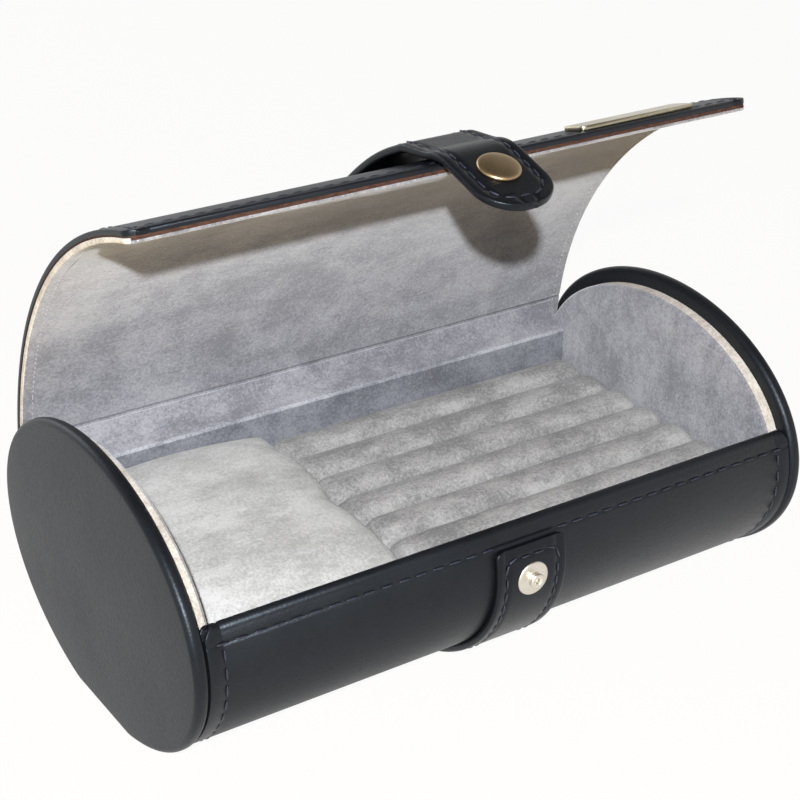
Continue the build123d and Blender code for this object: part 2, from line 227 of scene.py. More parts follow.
COVER_LEATHER = leather(
    "cover_leather", (0.0036, 0.0038, 0.0048), (0.0092, 0.0095, 0.0116), 0.31, 0.32, 1250.0, 0.09 * MM
)
STRAP_LEATHER = leather(
    "strap_leather", (0.0022, 0.0024, 0.0032), (0.0058, 0.0061, 0.0076), 0.24, 0.27, 1500.0, 0.06 * MM
)
print("leathers", COVER_LEATHER.name, STRAP_LEATHER.name)

# %% [markdown]
# ## Suede
# Suede has a nap. Where it was last brushed it lies lighter or darker, in soft patches a finger wide, and
# over those sits a grain of fibre tips that the eye can just pick out. Four noises of falling size make it,
# and a little sheen on the shader gives the pale glow at grazing angles. Four more suedes are painted light
# and shade: a cream painted highlight on rims and edges, painted shade in the lid's crease and on the
# ledge's face, and a paler painted highlight along the ledge's edge.

# %% Suede finishes
def suede(name, dark, middle, light, sheen):
    finish = Finish(name, Sheen_Weight=sheen, Sheen_Roughness=0.5, Specular_IOR_Level=0.1)
    clouds = finish.noise(52.0, 4.0, (1.0, 1.35, 1.0), 0.6)
    strokes = finish.noise(170.0, 4.0, (0.7, 1.6, 1.2), 0.65)
    grain = finish.noise(1150.0, 3.0, (1, 1, 1), 0.7)
    tips = finish.noise(2600.0, 2.0)
    tone = clouds * 0.64 + strokes * 0.40 + grain * 0.64 + tips * 0.30 - 0.49
    colour = finish.ramp(tone, (0.36, dark), (0.50, middle), (0.64, light))
    nap = finish.bump(clouds * 0.4 + strokes * 0.4, 0.5 * MM, 0.35)
    pile = finish.bump(grain + tips * 0.6, 0.22 * MM, 0.7, nap)
    return finish.set(Base_Color=colour, Roughness=0.82 + grain * 0.15, Normal=pile)


LINING_SUEDE = suede("lining_suede", (0.15, 0.15, 0.167), (0.235, 0.234, 0.256), (0.325, 0.322, 0.34), 0.75)
ROLL_SUEDE = suede("roll_suede", (0.192, 0.187, 0.184), (0.294, 0.286, 0.28), (0.395, 0.384, 0.374), 0.12)
# Painted shade: a darker suede for the lid lining's crease.
CREASE_SHADE_SUEDE = suede("crease_painted_shade", (0.12, 0.12, 0.132), (0.18, 0.18, 0.195), (0.24, 0.24, 0.255), 0.1)
# Painted shade: a darker, bluer suede for the ledge's face.
LEDGE_SHADE_SUEDE = suede("ledge_face_painted_shade", (0.11, 0.112, 0.13), (0.172, 0.176, 0.2), (0.24, 0.245, 0.268), 0.35)
# Painted highlight: a paler suede along the ledge's edge.
LEDGE_HIGHLIGHT_SUEDE = suede("ledge_edge_painted_highlight", (0.19, 0.192, 0.215), (0.3, 0.303, 0.328), (0.42, 0.424, 0.45), 0.5)
PILLOW_SUEDE = suede("pillow_suede", (0.385, 0.378, 0.362), (0.495, 0.488, 0.472), (0.605, 0.597, 0.58), 0.12)
# Painted highlight: a cream suede for the rims of the inner ends and the lid lining's side edges.
CREAM_HIGHLIGHT_SUEDE = suede("cream_painted_highlight", (0.44, 0.395, 0.34), (0.59, 0.54, 0.475), (0.72, 0.67, 0.605), 0.12)
print("finishes so far", len(bpy.data.materials))

# %% [markdown]
# ## Thread, board and metal
# The thread outside is a waxed navy black, and inside it is pale grey. The board shows only as a red-brown
# line at the lid's edges. The cap and the name plate are gold plate, and the stud is pale nickel.

# %% Thread, board and metal finishes
def waxed_thread(name, dark, light):
    finish = Finish(name, Specular_IOR_Level=0.6)
    twist = finish.noise(2600.0, 2.0)
    colour = finish.ramp(twist, (0.35, dark), (0.70, light))
    roughness = 0.30 + twist * 0.25
    return finish.set(Base_Color=colour, Roughness=roughness, Normal=finish.bump(twist, 0.08 * MM, 0.6))


def card_board():
    finish = Finish("card_board", Specular_IOR_Level=0.2)
    pulp = finish.noise(700.0, 4.0, (1.0, 3.0, 3.0))
    colour = finish.ramp(pulp, (0.30, (0.034, 0.015, 0.011)), (0.75, (0.092, 0.047, 0.032)))
    roughness = 0.80 + pulp * 0.15
    return finish.set(Base_Color=colour, Roughness=roughness, Normal=finish.bump(pulp, 0.1 * MM, 0.5))


def plated_metal(name, dark, light, gloss, stretch):
    finish = Finish(name, Metallic=1.0)
    lines = finish.noise(900.0, 3.0, stretch)
    clouds = finish.noise(140.0, 3.0)
    colour = finish.ramp(clouds * 0.7 + lines * 0.3, (0.30, dark), (0.72, light))
    roughness = gloss + lines * 0.10 + clouds * 0.05
    return finish.set(Base_Color=colour, Roughness=roughness, Normal=finish.bump(lines, 0.01 * MM, 0.2))


THREAD = waxed_thread("waxed_thread", (0.006, 0.007, 0.014), (0.024, 0.029, 0.052))
PALE_THREAD = waxed_thread("pale_thread", (0.300, 0.300, 0.320), (0.520, 0.520, 0.540))
CARD_BOARD = card_board()
CAP_GOLD = plated_metal("cap_gold", (0.330, 0.225, 0.115), (0.500, 0.370, 0.215), 0.30, (1.0, 6.0, 1.0))
PLATE_GOLD = plated_metal("plate_gold", (0.400, 0.350, 0.235), (0.620, 0.560, 0.420), 0.20, (0.4, 9.0, 9.0))
NICKEL = plated_metal("nickel", (0.640, 0.590, 0.500), (0.820, 0.770, 0.680), 0.34, (1.0, 1.0, 4.0))
print("finishes", len(bpy.data.materials))

# %% [markdown]
# ## Two ways to make a sheet
# Almost everything here is a sheet with a thickness that follows a line in the case's section: the lid, the
# wall, the straps. `sweep` carries an outline along such a line. Its ends are left open where two pieces
# meet, because the lid's leather is cut at the middle of each strip, so that each cut piece holds one
# joint. `turned` makes what is round: the snap's cap and stud. Both join rings of points with `skin`. A
# seam sinks into soft leather, so the outline of a sewn sheet has a shallow groove where its stitches lie.

# %% Mesh pieces
GROOVE_HALF = 0.60 * MM
GROOVE_DEPTH = 0.24 * MM
SHARP_ANGLE = math.radians(50)
BOTH_ENDS = (True, True)
NO_END = (False, False)
FIRST_END = (True, False)
LAST_END = (False, True)


def mesh_piece(name, points, faces, material):
    """A smooth mesh object at the origin, sharp only at real corners."""
    mesh = bpy.data.meshes.new(name)
    mesh.from_pydata([tuple(p) for p in points], [], faces)
    mesh.materials.append(material)
    piece = bpy.data.objects.new(name, mesh)
    bpy.context.scene.collection.objects.link(piece)
    mesh.shade_smooth()
    mesh.set_sharp_from_angle(angle=SHARP_ANGLE)
    return piece


def turn_out(piece):
    """Make the faces of a closed or nearly closed shell point outwards."""
    mesh = piece.data
    volume = sum(face.center.dot(face.normal) * face.area for face in mesh.polygons)
    if volume < 0:
        mesh.flip_normals()


def skin(name, rings, material, closed=BOTH_ENDS):
    """Join closed rings of points, each to the next, with the ends filled where asked."""
    around = len(rings[0])
    faces = []
    for i in range(len(rings) - 1):
        for j in range(around):
            k = (j + 1) % around
            faces.append((i * around + j, i * around + k, (i + 1) * around + k, (i + 1) * around + j))
    if closed[0]:
        faces.append(tuple(range(around))[::-1])
    if closed[1]:
        faces.append(tuple(range((len(rings) - 1) * around, len(rings) * around)))
    piece = mesh_piece(name, [p for ring in rings for p in ring], faces, material)
    turn_out(piece)
    return piece


def paint(piece, finish, test):
    """Give a further finish to the faces that pass a test."""
    chosen = [face for face in piece.data.polygons if test(face)]
    if chosen:
        piece.data.materials.append(finish)
    for face in chosen:
        face.material_index = len(piece.data.materials) - 1


print("seam groove", GROOVE_HALF * 2, "wide,", GROOVE_DEPTH, "deep")


# %% Outlines of sheets
def arc_points(across, up, radius, first, steps=4):
    """A quarter turn of points about a corner's centre, without its first point."""
    turn = np.radians(np.linspace(first, first + 90, steps + 1))[1:]
    return [(across + radius * math.cos(a), up + radius * math.sin(a)) for a in turn]


def upper_side(flat, level, columns, grooves, band):
    """Points along the upper side of a sheet from right to left, sunk where stitches lie."""
    places = list(np.linspace(flat, -flat, columns)[1:])
    for groove in grooves:
        places += [groove + GROOVE_HALF * share for share in (-1, -0.5, 0.5, 1)]
    points = []
    for x in sorted(places, reverse=True):
        dip = max((min(1, max(0, 2 - 2 * abs(x - groove) / GROOVE_HALF)) for groove in grooves), default=0)
        if grooves and abs(x) <= max(grooves):
            dip = max(dip, band)
        points.append((x, level - dip * GROOVE_DEPTH))
    return points


def rounded_section(half, thickness, corner, columns=2, grooves=(), band=0.0):
    """Points (across, up) round a flat sheet with rounded edges. band sinks all between the grooves."""
    corner = min(corner, thickness / 2 * 0.98)
    flat, rise = half - corner, thickness / 2 - corner
    points = [(x, -thickness / 2) for x in np.linspace(-flat, flat, columns)]
    points += arc_points(flat, -rise, corner, -90) + arc_points(flat, rise, corner, 0)
    points += upper_side(flat, thickness / 2, columns, grooves, band)
    points += arc_points(-flat, rise, corner, 90) + arc_points(-flat, -rise, corner, 180)
    return points[:-1]


print("strap outline", len(rounded_section(10 * MM, STRAP, 0.75 * MM, 6)), "points")


# %% Swept and turned pieces
def sweep(name, line, outward, sections, material, closed=NO_END):
    """Carry outlines along a line in Y and Z, one for each point of it."""
    rings = []
    for point, out, section in zip(line, outward, sections):
        rings.append([(x, point[0] + up * out[0], point[1] + up * out[1]) for x, up in section])
    return skin(name, rings, material, closed)


def turned(name, outline, place, material, sides=64):
    """Turn an outline of (radius, height) about the local Z of a place."""
    rings = []
    for radius, height in outline:
        turn = np.linspace(0, 2 * math.pi, sides, endpoint=False)
        rings.append([place @ Vector((radius * math.cos(a), radius * math.sin(a), height)) for a in turn])
    return skin(name, rings, material)


def corner_cut(away, radius):
    """How far a rounded corner draws a sheet's side in, at a distance from the sheet's end."""
    if away >= radius:
        return 0.0
    return radius - math.sqrt(max(radius**2 - (radius - away) ** 2, (0.1 * radius) ** 2))


def seam_band(away):
    """How deep a cross seam sinks a sheet, as a share, at a distance from it."""
    return max(0.0, 1 - (away / GROOVE_HALF) ** 2)


print("corner drawn in at its end", round(corner_cut(0.0, 4 * MM) / MM, 2), "mm of 4")


# %% Lines and slots
def normals_of(line):
    """Unit normals of a line in Y and Z, on the right of its direction of travel."""
    steps = np.gradient(np.array(line), axis=0)
    steps /= np.linalg.norm(steps, axis=1)[:, None]
    return np.stack([steps[:, 1], -steps[:, 0]], axis=1)


def even_line(points, step):
    """The same line with points at an even spacing."""
    points = np.array(points)
    gaps = np.linalg.norm(np.diff(points, axis=0), axis=1)
    along = np.concatenate([[0], np.cumsum(gaps)])
    wanted = np.linspace(0, along[-1], max(2, int(round(along[-1] / step)) + 1))
    return np.stack([np.interp(wanted, along, points[:, i]) for i in range(points.shape[1])], axis=1)


def dress(piece, slot, *nodes):
    """Hide the frame's solids that a piece stands for; the slot is not used."""
    if nodes:
        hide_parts(*nodes)
    return piece


print("even line", len(even_line([(0, 0), (10 * MM, 0)], 0.5 * MM)), "points")

# %% [markdown]
# ## Stitches
# A seam is a row of short stitches at an even pitch, so Geometry Nodes lay it: the curve is cut into equal
# steps, a slim bead is set on each step along the curve, and the result is made real and given the thread.
# A fixed seed turns each stitch a little.

# %% Stitch tree
STITCH_TURN = 0.05
STITCH_SEED = 7
THREAD_SINK = 0.06 * MM
STRAP_SINK = 0.05 * MM


def stitch_tree():
    tree = bpy.data.node_groups.new("stitch_row", "GeometryNodeTree")
    face = tree.interface
    face.new_socket("Geometry", in_out="INPUT", socket_type="NodeSocketGeometry")
    for name in ("Pitch", "Length", "Width"):
        face.new_socket(name, in_out="INPUT", socket_type="NodeSocketFloat")
    face.new_socket("Material", in_out="INPUT", socket_type="NodeSocketMaterial")
    face.new_socket("Geometry", in_out="OUTPUT", socket_type="NodeSocketGeometry")

    def add(kind, sockets=None, **settings):
        made = tree.nodes.new(kind)
        for name, value in settings.items():
            setattr(made, name, value)
        for name, value in (sockets or {}).items():
            made.inputs[name].default_value = value
        return made

    entry, leave = add("NodeGroupInput"), add("NodeGroupOutput")
    cut = add("GeometryNodeResampleCurve", mode="LENGTH")
    bead = add("GeometryNodeMeshUVSphere", {"Segments": 8, "Rings": 6, "Radius": 0.5})
    size = add("ShaderNodeCombineXYZ")
    shape = add("GeometryNodeTransform")
    along = add("GeometryNodeInputTangent")
    turn = add("FunctionNodeAlignRotationToVector", axis="X")
    limits = {"Min": [-STITCH_TURN] * 3, "Max": [STITCH_TURN] * 3, "Seed": STITCH_SEED}
    wobble = add("FunctionNodeRandomValue", limits, data_type="FLOAT_VECTOR")
    tilt = add("FunctionNodeEulerToRotation")
    both = add("FunctionNodeRotateRotation", rotation_space="LOCAL")
    spread = add("GeometryNodeInstanceOnPoints")
    real = add("GeometryNodeRealizeInstances")
    colour = add("GeometryNodeSetMaterial")
    wires = (
        (entry, "Geometry", cut, "Curve"),
        (entry, "Pitch", cut, "Length"),
        (entry, "Length", size, "X"),
        (entry, "Width", size, "Y"),
        (entry, "Width", size, "Z"),
        (bead, "Mesh", shape, "Geometry"),
        (size, "Vector", shape, "Scale"),
        (along, "Tangent", turn, "Vector"),
        (wobble, "Value", tilt, "Euler"),
        (turn, "Rotation", both, "Rotation"),
        (tilt, "Rotation", both, "Rotate By"),
        (cut, "Curve", spread, "Points"),
        (shape, "Geometry", spread, "Instance"),
        (both, "Rotation", spread, "Rotation"),
        (spread, "Instances", real, "Geometry"),
        (real, "Geometry", colour, "Geometry"),
        (entry, "Material", colour, "Material"),
        (colour, "Geometry", leave, "Geometry"),
    )
    for source, output, target, socket in wires:
        tree.links.new(source.outputs[output], target.inputs[socket])
    return tree


STITCH_TREE = stitch_tree()
print("stitch tree", len(STITCH_TREE.nodes), "nodes")


# %% Stitch rows
def stitches(name, lines, pitch, length, width, thread=THREAD):
    """Stitches along lines of points, as one plain mesh."""
    curve = bpy.data.curves.new(name + "_line", "CURVE")
    curve.dimensions = "3D"
    for line in lines:
        spline = curve.splines.new("POLY")
        spline.points.add(len(line) - 1)
        for knot, point in zip(spline.points, line):
            knot.co = (*point, 1.0)
    seam = bpy.data.objects.new(name + "_seam", curve)
    bpy.context.scene.collection.objects.link(seam)
    modifier = seam.modifiers.new("stitches", "NODES")
    modifier.node_group = STITCH_TREE
    values = {"Pitch": pitch, "Length": length, "Width": width, "Material": thread}
    for item in STITCH_TREE.interface.items_tree:
        if item.in_out == "INPUT" and item.name in values:
            modifier[item.identifier] = values[item.name]
    bpy.context.view_layer.update()
    seen = seam.evaluated_get(bpy.context.evaluated_depsgraph_get())
    mesh = bpy.data.meshes.new_from_object(seen)
    bpy.data.objects.remove(seam)
    bpy.data.curves.remove(curve)
    if not mesh.materials:
        mesh.materials.append(thread)
    mesh.shade_smooth()
    piece = bpy.data.objects.new(name, mesh)
    bpy.context.scene.collection.objects.link(piece)
    return dress(piece, "strap_leather" if thread is THREAD else "lining_suede")


stitch_inputs = [item.name for item in STITCH_TREE.interface.items_tree if item.in_out == "INPUT"]
print("stitch inputs", stitch_inputs)

# %% [markdown]
# ## The case's lines
# Three lines in the section carry the sheets: the oval, the lid's arc and the strap. Each is a formula.

# %% Lines in the section
def oval_point(inset, angle):
    """A point of the oval drawn in by inset, cut flat at the foot. Angle 0 is the back, 90 the top."""
    y = (SEMI_WIDTH - inset) * math.cos(math.radians(angle))
    z = AXIS_HEIGHT + (SEMI_HEIGHT - inset) * math.sin(math.radians(angle))
    return (y, max(z, inset - WALL_INSET if inset > WALL_INSET else 0.0))


def oval_angle(inset, height):
    """The angle at which the back of the oval reaches a height."""
    return math.degrees(math.asin((height - AXIS_HEIGHT) / (SEMI_HEIGHT - inset)))


def oval_reach(inset, height):
    """Half the oval's width at a height."""
    return (SEMI_WIDTH - inset) * math.cos(math.radians(oval_angle(inset, height)))


def lid_out(along):
    """The outward direction of the lid at a distance from its hinge."""
    angle = start_angles[0] + along / LID_RADIUS
    return np.array([math.cos(angle), math.sin(angle)])


def lid_point(along, lift):
    """A point a distance along the lid from its hinge, and a distance outside the middle of its board."""
    return LID_CENTRE + (LID_RADIUS + lift) * lid_out(along)


def along_lid(place):
    """The distance along the lid from its hinge of a place near it."""
    return LID_RADIUS * (math.atan2(place.z - LID_CENTRE[1], place.y - LID_CENTRE[0]) - start_angles[0])


def in_frame(point, x=0.0):
    return (float(x), float(point[0]), float(point[1]))


print("oval", round(2 * SEMI_WIDTH, 4), "by", round(2 * SEMI_HEIGHT, 4))

# %% [markdown]
# ## End discs
# Each disc is a board in a padded leather cover. Rings of the oval, drawn in step by step, make the rolled
# edge, the flat back that faces the trough, and a face that swells by less than a millimetre.

# %% End discs
DISC_ROLL = 1.7 * MM
DISC_SWELL = 0.7 * MM
TURN_IN = 16 * MM
TURN_IN_FLAT = 8 * MM
TURN_IN_SINK = 0.2 * MM
RING_POINTS = 240
SMALL_RING = 0.6
FOOT_RISE = 0.999
SIDES = ((-1, "left"), (1, "right"))
ring_angles = np.linspace(0, 2 * math.pi, RING_POINTS, endpoint=False)


def disc_profile():
    """Steps of (inset, x) from the inner face, round the edge, to the middle of the outer face."""
    steps = [(TURN_IN, DISC_INNER + TURN_IN_SINK), (TURN_IN_FLAT, DISC_INNER), (DISC_ROLL, DISC_INNER)]
    for centre, first in ((DISC_INNER + DISC_ROLL, 90), (HALF_LENGTH - DISC_ROLL, 180)):
        for a in np.radians(np.linspace(first, first + 90, 9)):
            steps.append((DISC_ROLL * (1 + math.cos(a)), centre - DISC_ROLL * math.sin(a)))
    for share in np.linspace(0.06, 0.97, 22):
        inset = DISC_ROLL + share * (SEMI_HEIGHT - DISC_ROLL)
        steps.append((inset, HALF_LENGTH + DISC_SWELL * (1 - (1 - share) ** 3)))
    return steps


def end_rings(side, outline, steps):
    """Rings of an outline, drawn in and placed along X step by step. side is -1 for the left end."""
    return [[(side * x, *point) for point in outline(inset)] for inset, x in steps]


def disc_outline(inset):
    """The disc's oval drawn in, with a flat foot. Small rings keep the oval's proportions."""
    shrink = 1 - inset / SEMI_HEIGHT
    wide = max(SEMI_WIDTH - inset, shrink * SEMI_WIDTH) if shrink < SMALL_RING else SEMI_WIDTH - inset
    tall = SEMI_HEIGHT - inset
    foot = inset * FOOT_RISE
    return [(wide * math.cos(a), max(AXIS_HEIGHT + tall * math.sin(a), foot)) for a in ring_angles]


for side, name in SIDES:
    piece = skin(f"{name}_disc_leather", end_rings(side, disc_outline, disc_profile()), COVER_LEATHER)
    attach(dress(piece, "cover_leather", f"{name}_end_leather"), "base")
    print(piece.name, len(piece.data.polygons), "faces")

# %% [markdown]
# ## Inner ends
# Inside each disc stands a second board, a little smaller, wrapped in suede. Its rim carries a cream painted
# highlight, a band inside the black edge of the disc.

# %% Inner ends
END_ROLL = 1.1 * MM
END_SWELL = 0.5 * MM
LID_REST = 44.5 * MM
WALL_GAP = 0.15 * MM
LID_GAP = 0.8 * MM
DISC_GAP = 0.05 * MM
# Distance from the lining's face at which the rim's painted highlight begins.
RIM_HIGHLIGHT_START = 0.75 * MM


def inner_outline(inset):
    """The inner board's outline: close to the wall low down, and clear of the closed lid above."""
    points = []
    for a in ring_angles:
        for gap in (WALL_GAP, LID_GAP):
            shrink = WALL_INSET + WALL + gap + inset
            y = (SEMI_WIDTH - shrink) * math.cos(a)
            z = AXIS_HEIGHT + (SEMI_HEIGHT - shrink) * math.sin(a)
            if z < LID_REST:
                break
        points.append((y, max(z, WALL + inset)))
    return points


def inner_profile():
    """Steps of (inset, x) from the disc, over the rolled rim, to the middle of the lining."""
    steps = [(0.0, DISC_INNER - DISC_GAP)]
    for a in np.radians(np.linspace(0, 90, 7)):
        steps.append((END_ROLL * (1 - math.cos(a)), LINING_FACE + END_ROLL * (1 - math.sin(a))))
    for share in np.linspace(0.05, 0.96, 20):
        inset = END_ROLL + share * (SEMI_HEIGHT - WALL - 2 * END_ROLL)
        steps.append((inset, LINING_FACE - END_SWELL * (1 - (1 - share) ** 4)))
    return steps


for side, name in SIDES:
    piece = skin(f"{name}_end_suede", end_rings(side, inner_outline, inner_profile()), LINING_SUEDE)
    # Painted highlight: the rim's faces take the cream suede.
    paint(piece, CREAM_HIGHLIGHT_SUEDE, lambda face: abs(face.center.x) > LINING_FACE + RIM_HIGHLIGHT_START)
    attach(dress(piece, "lining_suede", f"{name}_end_lining", f"{name}_end_inner_board"), "base")
    print(piece.name, len(piece.data.polygons), "faces")

# %% [markdown]
# ## Trough
# One leather sheet runs from the hinge under the case, up the front, over the rim and a little way down
# inside. The suede lining meets it there. Above its seam the rim is a soft roll.

# %% Trough
HINGE_SEAM = 44.0 * MM
RIM_ROLL = WALL / 2
RIM_SEAM = 4.6 * MM
RIM_CORNER = 4.0 * MM
RIM_BULGE = 0.25 * MM
END_SEAM = 4.6 * MM
SEAM_MARGIN = 1.5 * MM
LINING_TOP = 46.5 * MM
SHEET_EDGE = 0.3 * MM
LINING_EDGE = 0.2 * MM
TROUGH_STEP = 0.35 * MM
FRONT_FACES = 0.2
WALL_STITCH = {"pitch": 5.0 * MM, "length": 3.9 * MM, "width": 0.62 * MM}
cover_inset = WALL_INSET + COVER / 2
turned_inset = WALL_INSET + WALL - COVER / 2
seam_x = WALL_HALF - END_SEAM


def trough_line():
    """The leather's middle line, from the hinge's seam to the end of its turn-in."""
    rim_start = RIM_TOP - RIM_ROLL
    first = oval_angle(cover_inset, HINGE_SEAM)
    last = -180 - oval_angle(cover_inset, rim_start)
    points = [oval_point(cover_inset, a) for a in np.linspace(first, last, 260)]
    outer, inner = oval_reach(cover_inset, rim_start), oval_reach(turned_inset, rim_start)
    for a in np.radians(np.linspace(180, 0, 15))[1:-1]:
        y = -(outer + inner) / 2 + (outer - inner) / 2 * math.cos(a)
        points.append((y, rim_start + (RIM_ROLL - COVER / 2) * math.sin(a)))
    for height in np.linspace(rim_start, RIM_TOP - RIM_TURN_IN, 6):
        points.append((-oval_reach(turned_inset, height), height))
    return even_line(points, TROUGH_STEP)


trough = trough_line()
trough_out = -normals_of(trough)
trough_sections = []
for number, (point, out) in enumerate(zip(trough, trough_out)):
    front = point[0] < 0 and out[0] < FRONT_FACES
    away = RIM_TOP - point[1]
    half = WALL_HALF - (corner_cut(away, RIM_CORNER) if point[0] < 0 and away < RIM_CORNER else 0.0)
    if front and point[1] > AXIS_HEIGHT:
        rise = -GROOVE_DEPTH * seam_band(away - RIM_SEAM)
        if away < RIM_SEAM:
            rise += RIM_BULGE * math.sin(math.pi * away / RIM_SEAM) ** 0.5
        trough[number] = point + out * rise
    seam = min(seam_x, half - SEAM_MARGIN)
    trough_sections.append(rounded_section(half, COVER, SHEET_EDGE, 2, (-seam, seam)))
trough_leather = sweep("trough_leather_sheet", trough, trough_out, trough_sections, COVER_LEATHER, BOTH_ENDS)
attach(dress(trough_leather, "cover_leather", "trough_leather"), "base")

lining_inset = WALL_INSET + WALL - LINING / 2
lining_first = oval_angle(lining_inset, LINING_TOP)
lining_last = -180 - oval_angle(lining_inset, RIM_TOP - RIM_TURN_IN)
lining_line = [oval_point(lining_inset, a) for a in np.linspace(lining_first, lining_last, 200)]
lining_sections = [rounded_section(WALL_HALF, LINING, LINING_EDGE)] * len(lining_line)
lining_out = normals_of(lining_line)
trough_lining = sweep("trough_suede", lining_line, lining_out, lining_sections, LINING_SUEDE, BOTH_ENDS)
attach(dress(trough_lining, "lining_suede", "trough_lining"), "base")
print("trough", len(trough_leather.data.polygons), "faces")

# %% Wall stitches
STRAP_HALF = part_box("strap_tab")[1].x
STRAP_CLEAR = 1.0 * MM
ROW_GAP = 3.0 * MM
BACK_SEAM_END = -20
seam_inset = WALL_INSET + THREAD_SINK
seam_height = RIM_TOP - RIM_SEAM
rows = []
for side in (-1, 1):
    xs = np.linspace(side * seam_x, side * (STRAP_HALF + STRAP_CLEAR), 80)
    rows.append([(x, -oval_reach(seam_inset, seam_height), seam_height) for x in xs])
    angles = np.linspace(-180 - oval_angle(seam_inset, seam_height - ROW_GAP), BACK_SEAM_END, 200)
    rows.append([(side * seam_x, *oval_point(seam_inset, a)) for a in angles])
wall_stitches = stitches("wall_stitches", rows, **WALL_STITCH)
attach(wall_stitches, "base")
print("wall stitch faces", len(wall_stitches.data.polygons))

# %% [markdown]
# ## Ledge and gusset
# A suede ledge runs along the back, with painted shade on its face and a painted highlight along its edge.
# From there a gusset of the same suede slopes up to the lid, and hides the hinge. The gusset is cloth across
# a joint, but here it keeps its rest shape and is not bent. Its lower part is glued under the ledge's own suede.

# %% Ledge and gusset
ledge_low, ledge_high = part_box("back_ledge_lining")
LEDGE_FRONT = ledge_low.y
LEDGE_EDGE = 50.5 * MM
LEDGE_SLOPE = 0.5
EDGE_ROLL = 0.75 * MM
GUSSET = 0.7 * MM
GUSSET_REACH = 10.0 * MM
GUSSET_SAG = 0.9 * MM
GUSSET_GAP = 0.25 * MM
GUSSET_LEAVE = 7
GUSSET_GLUED = 20
LEDGE_STEP = 0.4 * MM
LEDGE_SHORT = 0.3 * MM
# Faces of the ledge's edge that face further forward than this take the painted highlight.
EDGE_FACES = -0.75


def ledge_line():
    face = LEDGE_FRONT + LINING / 2
    points = [(face, ledge_low.z), (face, LEDGE_EDGE - EDGE_ROLL)]
    lean = math.atan(LEDGE_SLOPE)
    for a in np.linspace(math.pi, math.pi / 2 + lean, 7)[1:]:
        points.append((face + EDGE_ROLL * (1 + math.cos(a)), LEDGE_EDGE + EDGE_ROLL * (math.sin(a) - 1)))
    end_y = ledge_high.y - LEDGE_SHORT
    last = points[-1]
    points.append((end_y, last[1] + LEDGE_SLOPE * (end_y - last[0])))
    return even_line(points, LEDGE_STEP)


ledge = ledge_line()
ledge_sections = [rounded_section(LINING_FACE, LINING, SHEET_EDGE)] * len(ledge)
ledge_suede = sweep("ledge_suede", ledge, -normals_of(ledge), ledge_sections, LINING_SUEDE, BOTH_ENDS)
roll_start = LEDGE_EDGE - EDGE_ROLL
# Painted shade: the ledge's face below its edge takes a darker suede.
paint(ledge_suede, LEDGE_SHADE_SUEDE, lambda face: face.center.z < roll_start)
# Painted highlight: the forward faces of the ledge's edge take a paler suede.
paint(ledge_suede, LEDGE_HIGHLIGHT_SUEDE, lambda face: face.normal.y < EDGE_FACES and face.center.z > roll_start)
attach(dress(ledge_suede, "lining_suede", "back_ledge_lining"), "base")

gusset_start = np.array(ledge[-GUSSET_LEAVE])
gusset_end = lid_point(GUSSET_REACH, -BOARD / 2 - LINING - GUSSET_GAP)
gusset_line = list(ledge[-GUSSET_LEAVE - GUSSET_GLUED:-GUSSET_LEAVE])
for share in np.linspace(0, 1, 24):
    sag = np.array([0.0, -GUSSET_SAG]) * math.sin(math.pi * share)
    gusset_line.append(gusset_start + (gusset_end - gusset_start) * share + sag)
gusset_sections = [rounded_section(LINING_FACE, GUSSET, SHEET_EDGE)] * len(gusset_line)
gusset_out = -normals_of(gusset_line)
gusset = sweep("gusset_suede", gusset_line, gusset_out, gusset_sections, LINING_SUEDE, BOTH_ENDS)
dress(gusset, "lining_suede")
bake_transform(gusset)

# %% [markdown]
# ## Lid
# The lid is one flexible panel, and closed it is a smooth oval. Its leather and its lining are cut at the
# middle of each strip, so that each length between two middles holds one joint; they are not bent here.
# Both sheets are turned over the board's edge by half a millimetre, and the brown boards between them are
# the frame's own. The lining has a crease where the gusset ends, with painted shade along it, and its side
# edges carry a cream painted highlight.

# %% Outlines of the lid's sheets
RING_STEP = 0.4 * MM
LIP = 0.55 * MM
LIP_OUT = 0.20 * MM
LIP_BEVEL = 0.06 * MM
LEATHER_ROUND = 0.35
LINING_ROUND = 0.75
CURL_LIP = 0.02 * MM
CURL_STEPS = ((30, 0.85, 0.0), (60, 0.7, 0.0), (90, 0.55, 0.0), (90, 0.45, 1.0))
LID_CORNER = 3.0 * MM
LID_SEAM = 3.0 * MM
LINING_DRAW = 0.6 * MM
CREASE_AT = GUSSET_REACH + 0.7 * MM
CREASE_DEPTH = 0.40 * MM
CREASE_HALF = 0.5 * MM
# Half the width of the painted shade along the crease.
CREASE_SHADE_HALF = 0.45 * MM
LINING_START = 2.2 * MM


def lipped_section(half, thickness, lip, side, grooves):
    """A sheet turned over the board's edge on both sides. side is 1 for leather and -1 for lining."""
    top, base = thickness / 2, -thickness / 2
    corner = (LEATHER_ROUND if side > 0 else LINING_ROUND) * thickness
    outer, flat = half + LIP_OUT, half + LIP_OUT - corner
    right = [(half, base - lip), (outer - LIP_BEVEL, base - lip), (outer, base - 0.6 * lip)]
    right += [(outer, top - corner), *arc_points(flat, top - corner, corner, 0, 3)]
    points = [(-half, base), (half, base), *right, *upper_side(flat, top, 2, grooves, 0.0)]
    points += [(-across, up) for across, up in right[:-1][::-1]]
    return [(across, up * side) for across, up in points]


